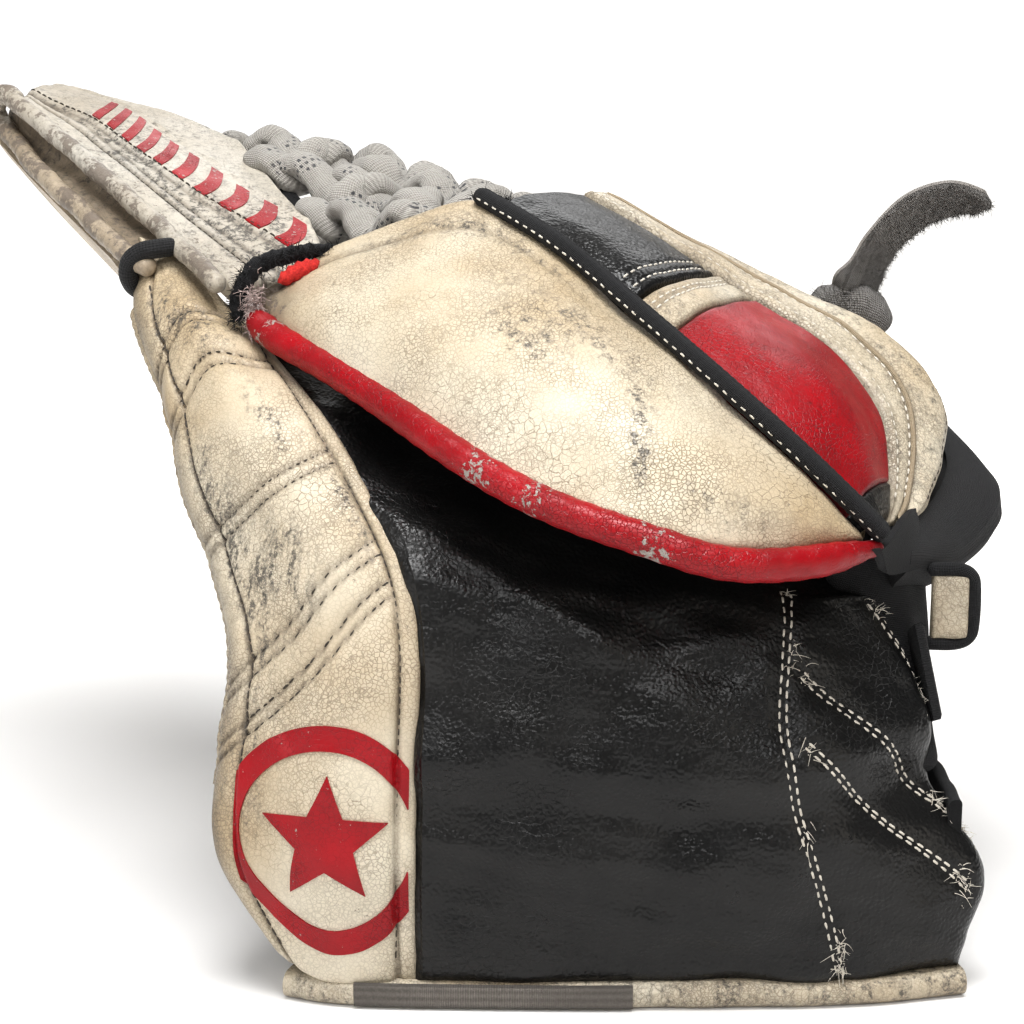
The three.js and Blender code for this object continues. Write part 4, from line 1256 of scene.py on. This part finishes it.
ACROSS = (-0.02, 0.39)  # v of the panels beside each other
INDEX_SEAMS, STRIPE_SEAMS, BORDER_SEAMS, BACK_SEAM = (0.3, 0.325), (0.372, 0.385), (0.43, 0.57), 0.8
panels = {}
for name, node, material, u, v, (outer, inner, edge), (crown, axis, seams, seed, wear), fill in (
    ("index_panel", "dorsal_index_panel", BLACK, (0, 0.347), ACROSS, (0, -6.5, 2),
     (0.8, "u", INDEX_SEAMS, 91, 0.3), 0.5),
    ("stripe_panel", "dorsal_stripe", WHITE, (0.352, 0.438), ACROSS, (0, -6.5, 1.4),
     (0.4, "u", STRIPE_SEAMS, 93, 0.4), 0.5),
    ("middle_panel", "dorsal_middle_panel", RED, (0.441, 0.957), ACROSS, (0, -6.5, 1.6),
     (1.2, "u", (), 95, 0.7), 0.7),
    ("heel_panel", "dorsal_heel_panel", BLACK, (0.953, 1.05), ACROSS, (0, -6.5, 1.5),
     (0.4, "u", (), 97, 0.3), 0.4),
    ("border_panel", "border_band", WHITE, (0, 1.05), (0.4, 0.6), (1, -4.5, (2, 3, 2, 2)),
     (0.8, "v", BORDER_SEAMS, 99, 0.35), 0.6),
    ("back_panel", "side_panel", WHITE, (0, 1.055), (0.602, 1), (0, -5.5, (2, 4, 1.5, 4)),
     (1.6, "v", (0.63, BACK_SEAM), 101, 0.5), 0.6),
):
    panels[name] = Pad(DORSAL, u, v, outer, inner, edge, panel_relief(u, v, crown, axis, seams, seed, wear))
    panels[name].build(name, material, FINGER_HALF, [node], fill)
for name, panel, thread, axis, places, low, high, n, seed in (
    ("dorsal_stitches", "index_panel", PALE_THREAD, "u", INDEX_SEAMS, 0.04, 0.38, 90, 12),
    ("stripe_stitches", "stripe_panel", PALE_THREAD, "u", STRIPE_SEAMS, 0.04, 0.38, 90, 13),
    ("border_stitches", "border_panel", PALE_THREAD, "v", BORDER_SEAMS, 0.01, 0.99, 260, 14),
    ("back_stitches", "back_panel", DARK_THREAD, "v", (BACK_SEAM,), 0.01, 0.99, 260, 15),
):
    stitches(name, panels[panel], straight(axis, places, low, high, n), thread, FINGER_HALF, seed=seed)
cord, _ = panels["border_panel"].point(np.linspace(0.0, 1.03, 30), 0.598, 0.9)
tube("border_cord", cord, 0.85, PIPING, FINGER_HALF, ["border_piping"], around=12)

liner = Pad(DORSAL, (0.08, 0.8), (0.24, 0.84), -12.6, -15.6, 1.2, uneven(0.4, 25, 21, 0.3))
liner.build("finger_lining", LINING, FINGER_HALF, ["finger_liner"], 0.4, step=2.5)


def face_relief(s):
    return {"h": 0.5 * ripple(s["p"], 30, 110) + 0.1 * ripple(s["p"], 9, 111) - 0.3}


def pinky_relief(s):
    return {"h": 0.5 * ripple(s["p"], 20, 114) - 0.6 * gauss(s["border"] - 6, 0.7)}


front = Pad(FINGER_FACE, (0.02, 0.96), (0.04, 1), 1, -2, 1.5, face_relief)
front.build("finger_front", BLACK, FINGER_HALF, ["finger_face"], 0.4)
wall = Pad(INDEX_WALL, outer=1.5, inner=-1.5, edge=1.2, relief=uneven(0.4, 18, 112, 0.2))
wall.build("index_side", BLACK, FINGER_HALF, ["index_wall"], 0.4)
gusset = Pad(HEEL, (-0.32, 1), (-0.7, 1.3), -1.8, -4.4, 1.2, uneven(0.3, 12, 113, 0.2))
gusset.build("heel_side", NYLON, FINGER_HALF, ["heel_gusset"], 0.4)
pinky = Pad(PINKY, (-0.03, 1.04), (-0.15, 1.06), 2.0, -5, 5.5, pinky_relief)
pinky.build("pinky_pad", NYLON, FINGER_HALF, ["pinky_side_pad"], 0.7)
stitches("pinky_stitches", pinky, straight("v", (0.75,), 0.3, 0.9, 80), PALE_THREAD, FINGER_HALF, seed=16)

# ---- Junction of the T and the flange ----

tube("junction_binding", [[-76.5, 68.5, 166.5], [-77, 69.5, 172], [-75, 70, 177], [-72, 72, 181.5],
                          [-64.5, 76.5, 184], [-55, 81.5, 185], [-47, 86, 183.5]],
     lambda a: 2.5 - 0.6 * gauss(a - 1, 0.2), NYLON, FINGER_HALF, step=0.6, around=18,
     bumps=lambda a, th, line: 0.35 * np.sin(a * 1.7 + th) * np.sin(a * 0.6))
tube("red_fleece_tip", [[-66, 71, 177], [-60, 74, 180], [-54, 77.5, 182]],
     lambda a: 2.6 * np.sqrt(np.maximum(1 - (2 * a - 1) ** 2, 0.06)), RED_FLEECE, FINGER_HALF,
     step=0.6, around=16, bumps=lambda a, th, line: 0.4 * np.sin(a * 2.3 + 2 * th))


def fluff(n, lean):
    """Random directions that lean one way."""
    return unit(rng.normal(0, 1, (n, 3)) + lean)


rng = np.random.default_rng(21)
roots = np.array((-72.5, 67.5, 169.5)) + rng.normal(0, 1, (420, 3)) * (1.4, 0.8, 3.6)
fibres("junction_threads", roots, fluff(420, (-0.3, -0.6, -0.2)), 3.0, FRAY, FINGER_HALF, 0.17, 22)
roots = spline([[-76.5, 68, 165], [-77.5, 69, 171], [-76, 70, 177], [-72, 71.5, 181], [-62, 76.5, 184],
                [-50, 83, 184.5]], rng.uniform(0, 1, 700))
ways = fluff(700, (0, -0.7, 0.5))
fibres("junction_fuzz", roots + ways * 1.6, ways, 2.6, NYLON, FINGER_HALF, 0.15, 23)
roots = spline([[-12, 84, 200], [-3, 84, 198], [0, 90, 199]], rng.uniform(0, 1, 70))
fibres("binding_fray", roots, fluff(70, (0, -0.4, 0.6)), 4.0, NYLON, FINGER_HALF, 0.13, 24)

# ---- Pocket lacing ----

LACE_ENDS = [
    ([-54, 114, 185], [-16, 87, 194]),
    ([-62, 134, 193], [-3, 102, 194]),
    ([-71, 150, 201], [7, 117, 192]),
    ([-79, 165, 207], [17, 131, 188]),
    ([-87, 184, 213], [25, 145, 182]),
]
STRANDS = len(LACE_ENDS)
LACE_RADIUS = 5.6
LACE_WAVE = 33.0  # mm along a lace from one crossing to the next but one
LACE_LIFT = 3.4  # mm that laces rise and sink by, to pass over and under each other
LACE_OUT = np.array((0.1, -0.25, 1.0))  # out of the pocket, the way that laces are flattened


def web(a, b):
    """The pocket's surface: a from the T to the index side, b from the near lace to the far one."""
    near, far = (spline([ends[k] for ends in LACE_ENDS], b) for k in (0, 1))
    sag = 3.5 * np.sin(math.pi * a) * (0.4 + 0.6 * b)
    return near + (far - near) * a[:, None] + UP * sag[:, None]


def lace_bumps(a, th, line):
    k = 2 * math.pi / 1.5
    yarn = 0.06 * np.sin(k * (a + LACE_RADIUS * th)) * np.sin(k * (a - LACE_RADIUS * th))
    return yarn + 0.5 * ripple(line, 13, 130)[:, None]


def lace(name, line, radius, around, squash, worn=0.0, nodes=()):
    points, faces, attributes = tube_mesh(line, radius, around, squash, LACE_OUT, lace_bumps)
    out = unit(points - np.repeat(line, around, 0))
    points = points + worn * out * ripple(points, 6, 131)[:, None]
    piece(name, (points, faces, attributes), LACE, FINGER_HALF, nodes)


for k in range(STRANDS):
    b = 0.02 + 0.96 * k / (STRANDS - 1)
    ends = web(np.array([0.0, 1.0]), np.array([b, b]))
    length = np.linalg.norm(ends[1] - ends[0])
    a = np.linspace(0, 1, int(length * 1.35 / 0.6))
    waves = max(1.5, round(2 * length / LACE_WAVE) / 2)
    phase = 2 * math.pi * waves * a + (math.pi if k % 2 else 0) + 0.35 * np.sin(5 * a + k)
    swing = 0.135 + 0.012 * math.sin(k * 2.1)
    line = web(1.14 * a - 0.07, np.clip(b + swing * np.sin(phase), -0.02, 1.02))
    line[:, 2] += LACE_LIFT * np.sin(2 * phase) * (1 if k % 2 else -1) + 0.8 * np.sin(phase * 0.5 + k)
    radius = LACE_RADIUS * (1 + 0.08 * np.sin(phase * 2 + 1))
    lace(f"lace_strand_{k + 1}", line, radius, 36, 0.72, 0.25, [f"pocket_lace_{k + 1}"])

# Two laces across the others, under and over them in turn
for k, a in enumerate((0.28, 0.68)):
    b = np.linspace(0.0, 1.0, 190)
    phase = math.pi * (STRANDS - 1) * b + math.pi * k
    line = web(np.clip(a + 0.07 * np.sin(phase * 0.5 + k), 0, 1), b)
    line[:, 2] += LACE_LIFT * np.cos(phase) - 1.0
    lace(f"lace_across_{k + 1}", line, 4.2, 30, 0.8)

# Black binding that the laces are tied to, on both sides of the pocket
for name, side, drop in (("pocket_binding_t", 0.02, 5.5), ("pocket_binding_index", 1.0, 4.5)):
    line = web(np.full(60, side), np.linspace(0, 1, 60)) - UP * drop
    piece(name, tube_mesh(line, 2.4, around=16, squash=0.7), NYLON, FINGER_HALF)

# ---- Hand strap ----


def strap_relief(s):
    height = 0.35 * ripple(s["p"], 9, 120) + 0.25 * ripple(s["p"], 4, 121)
    return {"h": height + 3.5 * gauss(s["v"] - 0.02, 0.14)}


hand = Pad(StrapFace(), (0, 1), (-0.03, 1), 1.4, -0.4, 0.9, strap_relief)
hand.build("hand_webbing", HOOK, HAND_STRAP, ["hand_strap"], 0.3, step=0.7)
backing = Pad(StrapFace(), (0.01, 0.99), (-0.03, 0.99), -0.35, -1.6, 0.4)
backing.build("strap_back", HOOK_BACK, HAND_STRAP, step=1.0)
rng = np.random.default_rng(31)
u, v = rng.uniform(0, 1, 4200), rng.uniform(0, 1, 4200)
edge = rng.uniform(0, 1, 4200) < 0.4
p, s = hand.point(np.where(edge, np.round(u), u), v)
ways = unit(s["n"] + rng.normal(0, 0.9, p.shape))
fibres("strap_fuzz", p - s["n"] * 0.3, ways, 1.8, HOOK, HAND_STRAP, 0.11, 32, 0.1)
tube("strap_anchor",
     [[89, 118, 163], [97, 119.5, 164], [104, 121, 163.5], [111, 123, 160.5], [115, 125, 157]],
     lambda a: 8.5 - 4.0 * (2 * a - 1) ** 2, HOOK, FINGER_HALF, ["strap_base"], 0.3, step=0.7, around=24,
     bumps=lambda a, th, line: 0.6 * np.sin(a * 0.8 + 2 * th) * np.sin(a * 0.3))
roots = spline([[94, 116, 165], [99, 116, 166], [107, 118, 165]], rng.uniform(0, 1, 900))
roots = roots + rng.normal(0, 2, (900, 3))
fibres("anchor_fuzz", roots, fluff(900, (0.2, -0.5, 0.5)), 3.0, HOOK, FINGER_HALF, 0.13, 33, 0.1)

for name in ("thumb_stiffener", "cuff_stiffener", "dorsal_shell"):
    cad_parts[name].material_slots[0].material = PLASTIC
